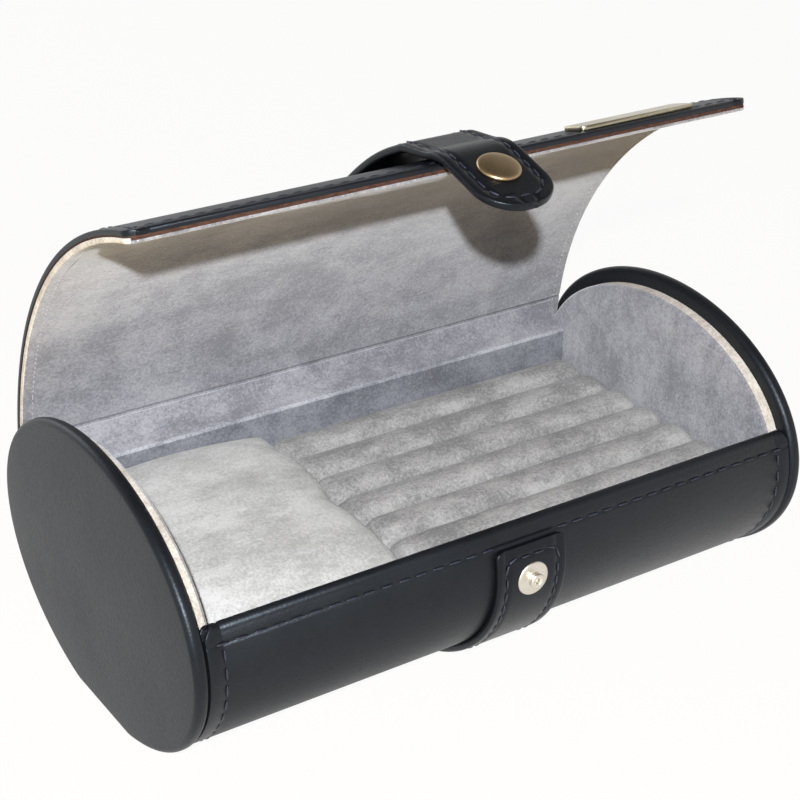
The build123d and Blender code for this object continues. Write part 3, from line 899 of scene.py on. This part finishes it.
def lid_ring(along, side, thickness):
    """Place, outward direction and outline of a lid sheet at a distance from the hinge."""
    lift = side * (BOARD + thickness) / 2
    if side < 0:
        lift += CREASE_DEPTH * math.exp(-(((along - CREASE_AT) / CREASE_HALF) ** 2))
    half = LID_HALF - corner_cut(LID_LENGTH - along, LID_CORNER)
    seam = half - LID_SEAM
    grooves = (-seam, seam) if side > 0 else ()
    return lid_point(along, lift), lid_out(along), lipped_section(half, thickness, LIP, side, grooves)


def lid_curl(end, side, thickness):
    """Rings that turn a sheet's free edge over the end of the board, thinner as it turns."""
    out = lid_out(end)
    ahead = np.array([-out[1], out[0]])
    half = LID_HALF - corner_cut(0.0, LID_CORNER)
    grooves = (LID_SEAM - half, half - LID_SEAM) if side > 0 else ()
    rings = []
    for degrees, thin, drop in CURL_STEPS:
        turn = math.radians(degrees)
        seen = side * math.cos(turn) * out + math.sin(turn) * ahead
        place = lid_point(end, side * BOARD / 2) + seen * thin * thickness / 2 - side * out * drop * LIP
        rings.append((place, side * seen, lipped_section(half, thin * thickness, CURL_LIP, side, grooves)))
    return rings


print("lining edge rings", len(lid_curl(LID_LENGTH - LINING_DRAW, -1, LINING)))

# %% Lid sheets
SIDE_FACES = 0.6
SIDE_BAND = 4 * MM
LAYERS = {
    "leather": (1, COVER, COVER_LEATHER, "cover_leather"),
    "lining": (-1, LINING, LINING_SUEDE, "lining_suede"),
}


def on_side_edge(face):
    """Whether a face of the lining lies on the lid's left or right edge."""
    return abs(face.normal.x) > SIDE_FACES and abs(face.center.x) > LID_HALF - SIDE_BAND


def lid_sheet(name, layer, first, last, closed=NO_END, curl=False):
    side, thickness, finish, slot = LAYERS[layer]
    count = max(8, int((last - first) / RING_STEP))
    rings = [lid_ring(along, side, thickness) for along in np.linspace(first, last, count)]
    if curl:
        rings += lid_curl(last, side, thickness)
    piece = sweep(name, *zip(*rings), finish, closed)
    if layer == "lining":
        # Painted highlight: the lining's side edges take the cream suede.
        paint(piece, CREAM_HIGHLIGHT_SUEDE, on_side_edge)
        # Painted shade: the lining's faces along the crease take a darker suede.
        paint(piece, CREASE_SHADE_SUEDE, lambda face: abs(along_lid(face.center) - CREASE_AT) < CREASE_SHADE_HALF)
    return dress(piece, slot)


def bend_across(piece, joint_number):
    """Bake a piece's place into its mesh. It is not bent: the strips' middles are found but not used."""
    start = in_frame(lid_point(cuts[joint_number - 1], 0))
    end = in_frame(lid_point(cuts[joint_number], 0))
    f"lid_{joint_number + 1}"
    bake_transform(piece)


print("strip middles", [round(cut, 4) for cut in cuts])

# %% Hinge leather
HINGE_TOP = 46.6 * MM
HINGE_LEAVE = 1.5 * MM
HINGE_STEP = 0.6 * MM
HINGE_EDGE = 0.28 * MM


def hinge_line():
    """From the seam on the wall, over the hinge roll, to the middle of the first strip."""
    heights = np.linspace(HINGE_SEAM, HINGE_TOP, 5)
    wall = [oval_point(cover_inset, oval_angle(cover_inset, z)) for z in heights]
    lid = [lid_point(s, (BOARD + COVER) / 2) for s in np.linspace(HINGE_LEAVE, cuts[0], 10)]
    return even_line([*wall, *lid], HINGE_STEP)


hinge = hinge_line()
hinge_sections = [rounded_section(LID_HALF, COVER, HINGE_EDGE)] * len(hinge)
hinge_out = normals_of(hinge)
hinge_leather = sweep("hinge_leather", hinge, hinge_out, hinge_sections, COVER_LEATHER, FIRST_END)
dress(hinge_leather, "cover_leather", "lid_leather_1")
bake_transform(hinge_leather)
print("hinge leather", len(hinge), "steps")

# %% Lid leather and lining
first_lining = lid_sheet("lid_suede_1", "lining", LINING_START, cuts[0], FIRST_END)
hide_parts("lid_lining_1")
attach(first_lining, "lid_1")
for layer, stem in (("leather", "lid_leather_sheet"), ("lining", "lid_suede")):
    for number in range(1, 7):
        piece = lid_sheet(f"{stem}_{number + 1}", layer, cuts[number - 1], cuts[number])
        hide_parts(f"lid_{layer}_{number + 1}")
        bend_across(piece, number)
    end = LID_LENGTH - (0.0 if layer == "leather" else LINING_DRAW)
    edge_piece = lid_sheet(f"{stem}_edge", layer, cuts[6], end, LAST_END, curl=True)
    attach(edge_piece, "lid_7")

# %% Lid stitches
LID_STITCH = {"pitch": 4.4 * MM, "length": 3.3 * MM, "width": 0.60 * MM}
PALE_STITCH = {"pitch": 1.8 * MM, "length": 0.95 * MM, "width": 0.42 * MM, "thread": PALE_THREAD}
ROW_START = 0.5 * MM
ROW_STEP = 1.0 * MM
PALE_RISE = 0.02 * MM


def lid_rows(first, last, lift):
    """Two lines just inside the lid's sides, on its outer or its inner face."""
    places = [lid_point(s, lift) for s in np.arange(first, last, ROW_STEP)]
    return [[in_frame(place, side * (LID_HALF - LID_SEAM)) for place in places] for side in (-1, 1)]


outside = BOARD / 2 + COVER - THREAD_SINK
inside = -BOARD / 2 - LINING - PALE_RISE
for number in range(1, 7):
    span = (cuts[number - 1] + ROW_START, cuts[number])
    bend_across(stitches(f"lid_stitches_{number + 1}", lid_rows(*span, outside), **LID_STITCH), number)
    bend_across(stitches(f"lining_stitches_{number + 1}", lid_rows(*span, inside), **PALE_STITCH), number)
edge_span = (cuts[6] + ROW_START, LID_LENGTH - LID_SEAM)
edge_rows = lid_rows(*edge_span, outside)
edge_xs = np.linspace(-LID_HALF + LID_SEAM, LID_HALF - LID_SEAM, 150)
edge_rows.append([in_frame(lid_point(LID_LENGTH - LID_SEAM, outside), x) for x in edge_xs])
edge_stitches = stitches("lid_stitches_edge", edge_rows, **LID_STITCH)
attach(edge_stitches, "lid_7")
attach(stitches("lining_stitches_edge", lid_rows(*edge_span, inside), **PALE_STITCH), "lid_7")
print("lid stitches", len(edge_stitches.data.polygons))

# %% [markdown]
# ## Strap
# The strap is sewn to the outside of the lid, bows up a little, and bends over the free edge to its snap.
# Its line is the lid's arc, then a straight rise, a bend and a straight drop. It is cut where it crosses a
# joint, as the lid is.

# %% Strap line
TAIL_LENGTH = 68.0 * MM
TAIL_START = LID_LENGTH - TAIL_LENGTH
TAIL_STOP = 2 * MM
TAB_LIFT = math.radians(2.0)
TAB_RISE = 10.7 * MM
TAB_BEND_RADIUS = 14.0 * MM
TAB_BEND = math.radians(38.7)
TAB_DROP = 22.0 * MM
TIP_ROUND = 10.0 * MM
TAIL_ROUND = 3.5 * MM
SNAP_FROM_TIP = 15.2 * MM
BOW = 3.2 * MM
BOW_START = 10.0 * MM
STRAP_STEP = 0.7 * MM
STRAP_SMOOTHING = 4
tab_root = np.array(joints["strap_hinge"]["pos_m"][1:])
root_along = strip_ends[6]
strap_lift = BOARD / 2 + COVER + STRAP / 2


def step(angle):
    return np.array([math.cos(angle), math.sin(angle)])


def strap_line():
    """The strap's middle line in Y and Z, from its tail to its tip."""
    points = []
    for along in np.arange(TAIL_START, root_along - TAIL_STOP, ROW_STEP):
        share = (along - TAIL_START - BOW_START) / (root_along - TAIL_START - BOW_START)
        rise = math.sin(math.pi / 2 * min(1.0, max(0.0, share))) ** 2
        points.append(lid_point(along, strap_lift + BOW * rise))
    heading = start_angles[6] + math.pi / 2 - TAB_LIFT
    lifted = tab_root + BOW * lid_out(root_along)
    bend_start = tab_root + TAB_RISE * step(heading)
    for share in np.linspace(0, 1, 10):
        points.append(lifted + (bend_start - lifted) * share)
    centre = bend_start + TAB_BEND_RADIUS * step(heading + math.pi / 2)
    for share in np.linspace(0, 1, 12)[1:]:
        points.append(centre + TAB_BEND_RADIUS * step(heading - math.pi / 2 + TAB_BEND * share))
    last = points[-1]
    for share in np.linspace(0, 1, 22)[1:]:
        points.append(last + TAB_DROP * share * step(heading + TAB_BEND))
    return even_line(points, STRAP_STEP)


strap = strap_line()
for _ in range(STRAP_SMOOTHING):
    strap[1:-1] = (strap[:-2] + 2 * strap[1:-1] + strap[2:]) / 4
strap_out = normals_of(strap)
strap_along = np.concatenate([[0], np.cumsum(np.linalg.norm(np.diff(strap, axis=0), axis=1))])
STRAP_LENGTH = strap_along[-1]
STRAP_SEAM = 3.0 * MM
STRAP_MARGIN = 1.2 * MM
STRAP_EDGE = 0.75 * MM
SEAM_LEAST = 1.0 * MM


def strap_width(along):
    """Half the strap's width: full, with a rounded tip and slightly rounded tail corners."""
    return STRAP_HALF - corner_cut(STRAP_LENGTH - along, TIP_ROUND) - corner_cut(along, TAIL_ROUND)


def seam_width(along):
    """Half the distance between the two stitch lines, which run round inside the tip and the tail."""
    width = STRAP_HALF - STRAP_SEAM
    width -= corner_cut(max(0.0, STRAP_LENGTH - STRAP_SEAM - along), TIP_ROUND - STRAP_SEAM)
    return max(width, SEAM_LEAST)


def strap_at(along):
    """Place on the strap's middle line and its outward direction."""
    point = np.array([np.interp(along, strap_along, strap[:, i]) for i in (0, 1)])
    out = np.array([np.interp(along, strap_along, strap_out[:, i]) for i in (0, 1)])
    return point, out / np.linalg.norm(out)


print("strap length", round(STRAP_LENGTH, 4))

# %% Strap pieces
BOW_END = 2 * MM
BEND_END = 13 * MM
SEAM_STEP = 0.5 * MM
tab_at = root_along - TAIL_START
STRAP_STITCH = {"pitch": 4.3 * MM, "length": 3.2 * MM, "width": 0.58 * MM}
strap_plan = (
    ("strap_tail_start", cuts[3] - TAIL_START, ("lid_4",), ("strap_tail_4",)),
    ("strap_tail_middle", cuts[4] - TAIL_START, ("lid_4", "lid_5"), ("strap_tail_5",)),
    ("strap_tail_end", cuts[5] - TAIL_START, ("lid_5", "lid_6"), ("strap_tail_6",)),
    ("strap_bow", tab_at + BOW_END, ("lid_6", "lid_7"), ()),
    ("strap_bend", tab_at + BEND_END, ("lid_7", "strap"), ()),
    ("strap_tab_end", STRAP_LENGTH, ("strap",), ("strap_tab", "strap_backing")),
)


def hold(piece, bodies):
    """Ride on one body; a piece that spans two is only baked in place, not bent."""
    if len(bodies) == 1:
        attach(piece, bodies[0])
    else:
        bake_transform(piece)


def strap_section(along):
    """The strap's outline, with its two seam grooves and the cross seam at its tail."""
    width = strap_width(along)
    seam = min(seam_width(along), width - STRAP_MARGIN)
    return rounded_section(width, STRAP, STRAP_EDGE, 6, (-seam, seam), seam_band(along - STRAP_SEAM))


def seam_rows(span, tail, tip):
    """Stitch lines inside the strap's two edges, joined round the tip and across the tail."""
    rows = []
    for side in (-1, 1):
        row = []
        for along in np.arange(span[0], span[1], SEAM_STEP):
            if STRAP_SEAM <= along <= STRAP_LENGTH - STRAP_SEAM:
                point, out = strap_at(along)
                row.append(in_frame(point + out * (STRAP / 2 - STRAP_SINK), side * seam_width(along)))
        rows.append(row)
    if tail:
        return [rows[0][::-1] + rows[1]]
    return [rows[0] + rows[1][::-1]] if tip else rows


first = 0.0
for name, last, bodies, nodes in strap_plan:
    span = (first, last)
    tail, tip = first == 0.0, last == STRAP_LENGTH
    count = max(8, int((last - first) / RING_STEP))
    rings = [(*strap_at(along), strap_section(along)) for along in np.linspace(*span, count)]
    piece = sweep(name, *zip(*rings), STRAP_LEATHER, (tail, tip))
    hold(dress(piece, "strap_leather", *nodes), bodies)
    hold(stitches(name + "_stitches", seam_rows(span, tail, tip), **STRAP_STITCH), bodies)
    first = last
print("strap pieces", len(strap_plan))

# %% [markdown]
# ## Front strap
# A short strap is sewn down the front and under the case. It carries the stud.

# %% Front strap
FRONT_CORNER = 2.0 * MM
front_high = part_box("front_strap")[1]
front_inset = WALL_INSET - STRAP / 2
front_first = -180 - oval_angle(front_inset, front_high.z)
front_last = -180 + math.degrees(math.acos(-front_high.y / (SEMI_WIDTH - front_inset)))
front_points = [oval_point(front_inset, a) for a in np.linspace(front_first, front_last, 90)]
front_line = even_line(front_points, RING_STEP)
front_out = normals_of(front_line)
front_seam = STRAP_HALF - STRAP_SEAM
front_sections, front_row = [], []
for number, (point, out) in enumerate(zip(front_line, front_out)):
    along = number * RING_STEP
    half = STRAP_HALF - corner_cut(along, FRONT_CORNER)
    seam = min(front_seam, half - STRAP_MARGIN)
    band = seam_band(along - STRAP_SEAM)
    front_sections.append(rounded_section(half, STRAP, STRAP_EDGE, 6, (-seam, seam), band))
    if along >= STRAP_SEAM:
        front_row.append(point + out * (STRAP / 2 - STRAP_SINK))
front_strap = sweep("front_strap_sheet", front_line, front_out, front_sections, STRAP_LEATHER, BOTH_ENDS)
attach(dress(front_strap, "strap_leather", "front_strap"), "base")
left_row, right_row = ([in_frame(place, side * front_seam) for place in front_row] for side in (-1, 1))
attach(stitches("front_strap_stitches", [left_row[::-1] + right_row], **STRAP_STITCH), "base")
print("front strap", len(front_line), "steps")

# %% [markdown]
# ## Snap and name plate
# The cap is a shallow gold dome with a turned-under edge, the stud a nickel flange with a hollow post. The
# name plate is a plain bar with softened edges, left blank.

# %% Snap cap and stud
cap_point, cap_out = strap_at(STRAP_LENGTH - SNAP_FROM_TIP)
CAP_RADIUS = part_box("snap_cap")[1].x


def place_on(point, out):
    """A local frame whose Z points out of a surface."""
    z = Vector((0, *out)).normalized()
    x = Vector((1, 0, 0))
    turn = Matrix((x, z.cross(x), z)).transposed().to_4x4()
    return Matrix.Translation(Vector(in_frame(point))) @ turn


cap_steps = [(0.02, 1.62), (0.24, 1.60), (0.48, 1.53), (0.70, 1.38), (0.84, 1.20), (0.93, 0.98)]
cap_steps += [(0.98, 0.68), (1.0, 0.36), (0.99, 0.12), (0.96, 0.02), (0.89, 0.0)]
cap_outline = [(share * CAP_RADIUS, height * MM) for share, height in cap_steps]
cap = turned("snap_cap_dome", cap_outline, place_on(cap_point + cap_out * STRAP / 2, cap_out), CAP_GOLD)
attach(dress(cap, "pale_brass", "snap_cap"), "strap")

stud_low, stud_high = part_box("snap_stud")
stud_middle = np.array([stud_high.y, (stud_low.z + stud_high.z) / 2])
stud_steps = [(4.6, 0.0), (4.95, 0.15), (4.95, 0.42), (4.75, 0.66), (4.3, 0.74), (2.6, 0.72), (2.05, 0.86)]
stud_steps += [(1.9, 1.1), (1.95, 1.6), (2.2, 2.05), (2.2, 2.35), (2.0, 2.68), (1.6, 2.8), (1.15, 2.78)]
stud_steps += [(0.95, 2.6), (0.9, 1.3)]
stud_outline = [(radius * MM, height * MM) for radius, height in stud_steps]
stud = turned("snap_stud_post", stud_outline, place_on(stud_middle, (-1.0, 0.0)), NICKEL)
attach(dress(stud, "snap_steel", "snap_stud"), "base")
print("cap at", [round(v / MM, 1) for v in cap_point], "stud at", [round(v / MM, 1) for v in stud_middle])

# %% Name plate
PLATE_WIDTH = 9.0 * MM
PLATE_THICKNESS = 1.2 * MM
PLATE_CORNER = 1.5 * MM
PLATE_EDGE = 0.25 * MM
PLATE_GAP = 0.05 * MM
plate_low, plate_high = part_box("name_plate")
plate_along = (strip_ends[6] + strip_ends[7]) / 2
plate_out = lid_out(plate_along)
plate_ahead = np.array([-plate_out[1], plate_out[0]])
plate_centre = lid_point(plate_along, BOARD / 2 + COVER + PLATE_GAP + PLATE_THICKNESS / 2)
plate_half = (plate_high.x - plate_low.x) / 2
plate_rings = []
for share in np.linspace(-0.5, 0.5, 31):
    half = plate_half - corner_cut((0.5 - abs(share)) * PLATE_WIDTH, PLATE_CORNER)
    place = plate_centre + plate_ahead * share * PLATE_WIDTH
    plate_rings.append((place, plate_out, rounded_section(half, PLATE_THICKNESS, PLATE_EDGE)))
plate = sweep("name_plate_bar", *zip(*plate_rings), PLATE_GOLD, BOTH_ENDS)
plate.data.transform(Matrix.Translation(((plate_low.x + plate_high.x) / 2, 0, 0)))
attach(dress(plate, "pale_brass", "name_plate"), "lid_7")
print("plate", round(2 * plate_half, 4))

# %% [markdown]
# ## Rolls and pillow
# The rolls and the pillow are stuffed suede. Each starts as a slightly small copy of the frame's solid, is
# remeshed, and is blown up by cloth pressure until its cover is taut, which rounds its edges and crowns its
# top as stuffing does. The pillow is then plumped further at its front, its back and its right side.

# %% Stuffing
STUFFING_PRESSURE = 4.0
STUFFING_FRAMES = 20


def settle(piece):
    """Turn a piece's modifiers into its mesh."""
    bpy.context.view_layer.update()
    seen = piece.evaluated_get(bpy.context.evaluated_depsgraph_get())
    mesh = bpy.data.meshes.new_from_object(seen)
    piece.modifiers.clear()
    piece.data = mesh


def places_of(piece):
    return np.array([v.co for v in piece.data.vertices])


def set_places(piece, places):
    piece.data.vertices.foreach_set("co", places.astype(np.float32).ravel())
    piece.data.update()


def blow_up(piece, limit):
    """Cloth pressure, with every point kept within a distance of its start."""
    start = places_of(piece)
    cloth = piece.modifiers.new("cloth", "CLOTH")
    cloth.settings.use_pressure = True
    cloth.settings.uniform_pressure_force = STUFFING_PRESSURE
    cloth.settings.effector_weights.gravity = 0
    cloth.settings.quality = 5
    cloth.point_cache.frame_start = 1
    cloth.point_cache.frame_end = STUFFING_FRAMES
    for tick in range(1, STUFFING_FRAMES + 1):
        bpy.context.scene.frame_set(tick)
    settle(piece)
    bpy.context.scene.frame_set(1)
    moved = places_of(piece) - start
    reach = np.maximum(np.linalg.norm(moved, axis=1), 1e-9)
    set_places(piece, start + moved * np.minimum(1.0, limit / reach)[:, None])


def stuffed(name, node, material, voxel, shrink, limit, smoothing):
    """A stuffed piece: a small copy of a node, remeshed, blown up and smoothed."""
    source = frame["nodes"][node].data.copy()
    source.materials.clear()
    source.materials.append(material)
    low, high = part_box(node)
    size = high - low
    scale = Matrix.Diagonal((1 - 2 * shrink / size.x, 1 - 2 * shrink / size.y, 1 - shrink / size.z, 1))
    pivot = Vector(((low.x + high.x) / 2, (low.y + high.y) / 2, low.z))
    source.transform(Matrix.Translation(pivot) @ scale @ Matrix.Translation(-pivot))
    piece = bpy.data.objects.new(name, source)
    bpy.context.scene.collection.objects.link(piece)
    remesh = piece.modifiers.new("remesh", "REMESH")
    remesh.mode = "VOXEL"
    remesh.voxel_size = voxel
    settle(piece)
    blow_up(piece, limit)
    smoother = piece.modifiers.new("smooth", "SMOOTH")
    smoother.factor = 0.5
    smoother.iterations = smoothing
    finer = piece.modifiers.new("finer", "SUBSURF")
    finer.levels = 1
    finer.render_levels = 1
    settle(piece)
    piece.data.shade_smooth()
    return piece


print("stuffing", STUFFING_FRAMES, "frames at pressure", STUFFING_PRESSURE)

# %% Ring rolls
ROLL_STUFFING = {"voxel": 2.6 * MM, "shrink": 0.5 * MM, "limit": 1.6 * MM, "smoothing": 2}
ROLL_CROWN = 0.8 * MM
ROLL_ROOM = np.array([0.3, 0.3, 0.0]) * MM
roll_nodes = sorted(name for name in frame["nodes"] if name.startswith("ring_roll_"))
for node in roll_nodes:
    roll = stuffed(f"{node}_suede", node, ROLL_SUEDE, **ROLL_STUFFING)
    low, high = (np.array(corner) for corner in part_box(node))
    set_places(roll, np.clip(places_of(roll), low - ROLL_ROOM, high + ROLL_ROOM + [0, 0, ROLL_CROWN]))
    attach(dress(roll, "lining_suede", node), "base")
print("rolls", len(roll_nodes))

# %% Watch pillow
FRONT_LIFT = 6.0 * MM
FRONT_RUN = 40 * MM
BACK_LIFT = 2.5 * MM
BACK_START = 15 * MM
BACK_RUN = 25 * MM
SIDE_BULGE = 1.6 * MM
SIDE_RUN = 8 * MM
UPPER_RUN = 16 * MM
PILLOW_STUFFING = {"voxel": 3.4 * MM, "shrink": 0.8 * MM, "limit": 2.0 * MM, "smoothing": 8}
pillow = stuffed("watch_pillow_suede", "watch_pillow", PILLOW_SUEDE, **PILLOW_STUFFING)
low, high = (np.array(corner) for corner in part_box("watch_pillow"))
under = np.array([0.25, 0.8, 0.2]) * MM
over = np.array([0.4, 0.8, 1.0]) * MM
places = np.clip(places_of(pillow), low - under, high + over)
upper = np.clip((places[:, 2] - low[2]) / UPPER_RUN, 0, 1)
forward = np.clip(-places[:, 1] / FRONT_RUN, 0, 1)
backward = np.clip((places[:, 1] - BACK_START) / BACK_RUN, 0, 1)
right = np.clip((places[:, 0] - high[0] + SIDE_RUN) / SIDE_RUN, 0, 1)
places[:, 2] += upper * (FRONT_LIFT * forward * forward * (3 - 2 * forward) + BACK_LIFT * backward)
places[:, 0] += SIDE_BULGE * upper * right
set_places(pillow, places)
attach(dress(pillow, "pillow_suede", "watch_pillow"), "pillow")
print("pillow", len(pillow.data.polygons))

# %% [markdown]
# ## What stays from the frame
# The boards, the tray and the inside of the snap keep their solid shapes, and only take a finish.

# %% Finishes of the frame's own pieces
OWN_FINISH = {
    "card_board": CARD_BOARD, "snap_steel": NICKEL, "pale_brass": PLATE_GOLD, "cover_leather": COVER_LEATHER
}
SPECIAL_FINISH = {"ring_tray_board": LINING_SUEDE, "trough_board": COVER_LEATHER}
slot_of = {row["node"]: row["material_slot"] for row in frame["record"]["subparts"]}
for name, node in frame["nodes"].items():
    if not node.hide_render:
        finish = SPECIAL_FINISH.get(name, OWN_FINISH[slot_of[name]])
        node.data.materials.clear()
        node.data.materials.append(finish)
print("frame pieces that show", sum(not node.hide_render for node in frame["nodes"].values()))

# %% [markdown]
# ## Stage
# The case stands on a white table. The table and the world look white to the camera, to mirrors and through
# glass, and the table keeps a faint shadow. Overhead the world is dim, so that leather that faces up stays
# dark, as it does in a room. The light that the room and the table throw back is warm.

# %% Floor
def camera_white(tree):
    """A mask that is 1 for what the camera sees, and for mirrors and glass."""
    path = tree.nodes.new("ShaderNodeLightPath")
    total = path.outputs["Is Camera Ray"]
    for name in ("Is Glossy Ray", "Is Transmission Ray"):
        either = tree.nodes.new("ShaderNodeMath")
        either.operation = "MAXIMUM"
        tree.links.new(total, either.inputs[0])
        tree.links.new(path.outputs[name], either.inputs[1])
        total = either.outputs[0]
    return total


def join(tree, *pairs):
    for source, target in pairs:
        tree.links.new(source, target)


FLOOR_HALF = 6.0
FLOOR_DROP = 0.2 * MM
FLOOR_GLOW = 0.95
FLOOR_COLOUR = (0.86, 0.70, 0.46, 1)
floor_mesh = bpy.data.meshes.new("floor")
corners = [(x * FLOOR_HALF, y * FLOOR_HALF, 0) for x, y in ((-1, -1), (1, -1), (1, 1), (-1, 1))]
floor_mesh.from_pydata(corners, [], [(0, 1, 2, 3)])
floor = bpy.data.objects.new("floor", floor_mesh)
floor.location.z = -FLOOR_DROP
bpy.context.scene.collection.objects.link(floor)
floor_material = bpy.data.materials.new("white_table")
floor_material.use_nodes = True
tree = floor_material.node_tree
table_top = tree.nodes["Principled BSDF"]
table_top.inputs["Base Color"].default_value = FLOOR_COLOUR
table_top.inputs["Roughness"].default_value = 0.7
glow = tree.nodes.new("ShaderNodeEmission")
mix = tree.nodes.new("ShaderNodeMixShader")
share = tree.nodes.new("ShaderNodeMath")
share.operation = "MULTIPLY"
share.inputs[1].default_value = FLOOR_GLOW
join(
    tree,
    (camera_white(tree), share.inputs[0]),
    (share.outputs[0], mix.inputs["Fac"]),
    (table_top.outputs[0], mix.inputs[1]),
    (glow.outputs[0], mix.inputs[2]),
    (mix.outputs[0], tree.nodes["Material Output"].inputs["Surface"]),
)
floor_mesh.materials.append(floor_material)
print("floor", 2 * FLOOR_HALF, "m wide")

# %% World
ROOM_COLOUR = (1.0, 0.74, 0.38, 1)
ROOM_STRENGTH = 0.12
CEILING = {"From Min": 0.30, "From Max": 0.75, "To Min": 1.0, "To Max": 0.20}
world = bpy.data.worlds.new("studio")
bpy.context.scene.world = world
world.use_nodes = True
tree = world.node_tree
soft = tree.nodes["Background"]
soft.inputs["Color"].default_value = ROOM_COLOUR
soft.inputs["Strength"].default_value = ROOM_STRENGTH
white = tree.nodes.new("ShaderNodeBackground")
place = tree.nodes.new("ShaderNodeTexCoord")
height = tree.nodes.new("ShaderNodeSeparateXYZ")
ceiling = tree.nodes.new("ShaderNodeMapRange")
for name, value in CEILING.items():
    ceiling.inputs[name].default_value = value
mix = tree.nodes.new("ShaderNodeMixShader")
join(
    tree,
    (place.outputs["Generated"], height.inputs[0]),
    (height.outputs["Z"], ceiling.inputs["Value"]),
    (ceiling.outputs[0], white.inputs["Strength"]),
    (camera_white(tree), mix.inputs["Fac"]),
    (soft.outputs[0], mix.inputs[1]),
    (white.outputs[0], mix.inputs[2]),
    (mix.outputs[0], tree.nodes["World Output"].inputs["Surface"]),
)
print("room light", ROOM_STRENGTH)

# %% [markdown]
# ## Camera and lights
# The view was fitted to the outlines of the discs, the rim and the lid's edges in the photograph. Its main
# light is small and stands just above and behind the lens, which gives the short shadows of the tab and the
# lid's edge. Large soft lamps on the left and behind, and a warm room, fill in.

# %% Camera
CAMERA_PLACE = Vector((-0.25976, -0.38652, 0.25727 + AXIS_HEIGHT))
CAMERA_RIGHT = Vector((0.83392, -0.55188, 0.00364))
CAMERA_UP = Vector((0.24187, 0.3714, 0.89642))
LENS_LENGTH = 81.39
SENSOR_WIDTH = 36.0
lens = bpy.data.cameras.new("camera")
lens.lens = LENS_LENGTH
lens.sensor_width = SENSOR_WIDTH
camera = bpy.data.objects.new("camera", lens)
turn = Matrix((CAMERA_RIGHT, CAMERA_UP, CAMERA_RIGHT.cross(CAMERA_UP))).transposed().to_4x4()
camera.matrix_world = Matrix.Translation(CAMERA_PLACE) @ turn
bpy.context.scene.collection.objects.link(camera)
bpy.context.scene.camera = camera
bpy.context.scene.view_settings.view_transform = "Standard"
print("camera", [round(v, 3) for v in CAMERA_PLACE])

# %% Lights
def softbox(name, place, target, size, power, colour=(1, 1, 1)):
    lamp = bpy.data.lights.new(name, "AREA")
    lamp.shape = "RECTANGLE"
    lamp.size, lamp.size_y = size
    lamp.energy = power
    lamp.color = colour
    holder = bpy.data.objects.new(name, lamp)
    holder.location = place
    holder.rotation_euler = (Vector(target) - Vector(place)).to_track_quat("-Z", "Y").to_euler()
    holder.visible_camera = False
    bpy.context.scene.collection.objects.link(holder)
    return holder


LIT_POINT = (0.0, 0.0, 0.07)
KEY_RISE = 0.06
KEY_BACK = 0.25
behind_lens = CAMERA_RIGHT.cross(CAMERA_UP)
key_place = CAMERA_PLACE + CAMERA_UP * KEY_RISE + behind_lens * KEY_BACK
softbox("key", key_place, LIT_POINT, (0.018, 0.015), 9.9, (0.93, 0.96, 1.0))
softbox("left", (-1.0, -0.25, 0.40), LIT_POINT, (0.7, 0.5), 0.5, (0.82, 0.92, 1.0))
softbox("back", (-0.3, 1.0, 0.55), LIT_POINT, (0.8, 0.4), 3.0, (0.90, 0.96, 1.0))
print("lights", 3)
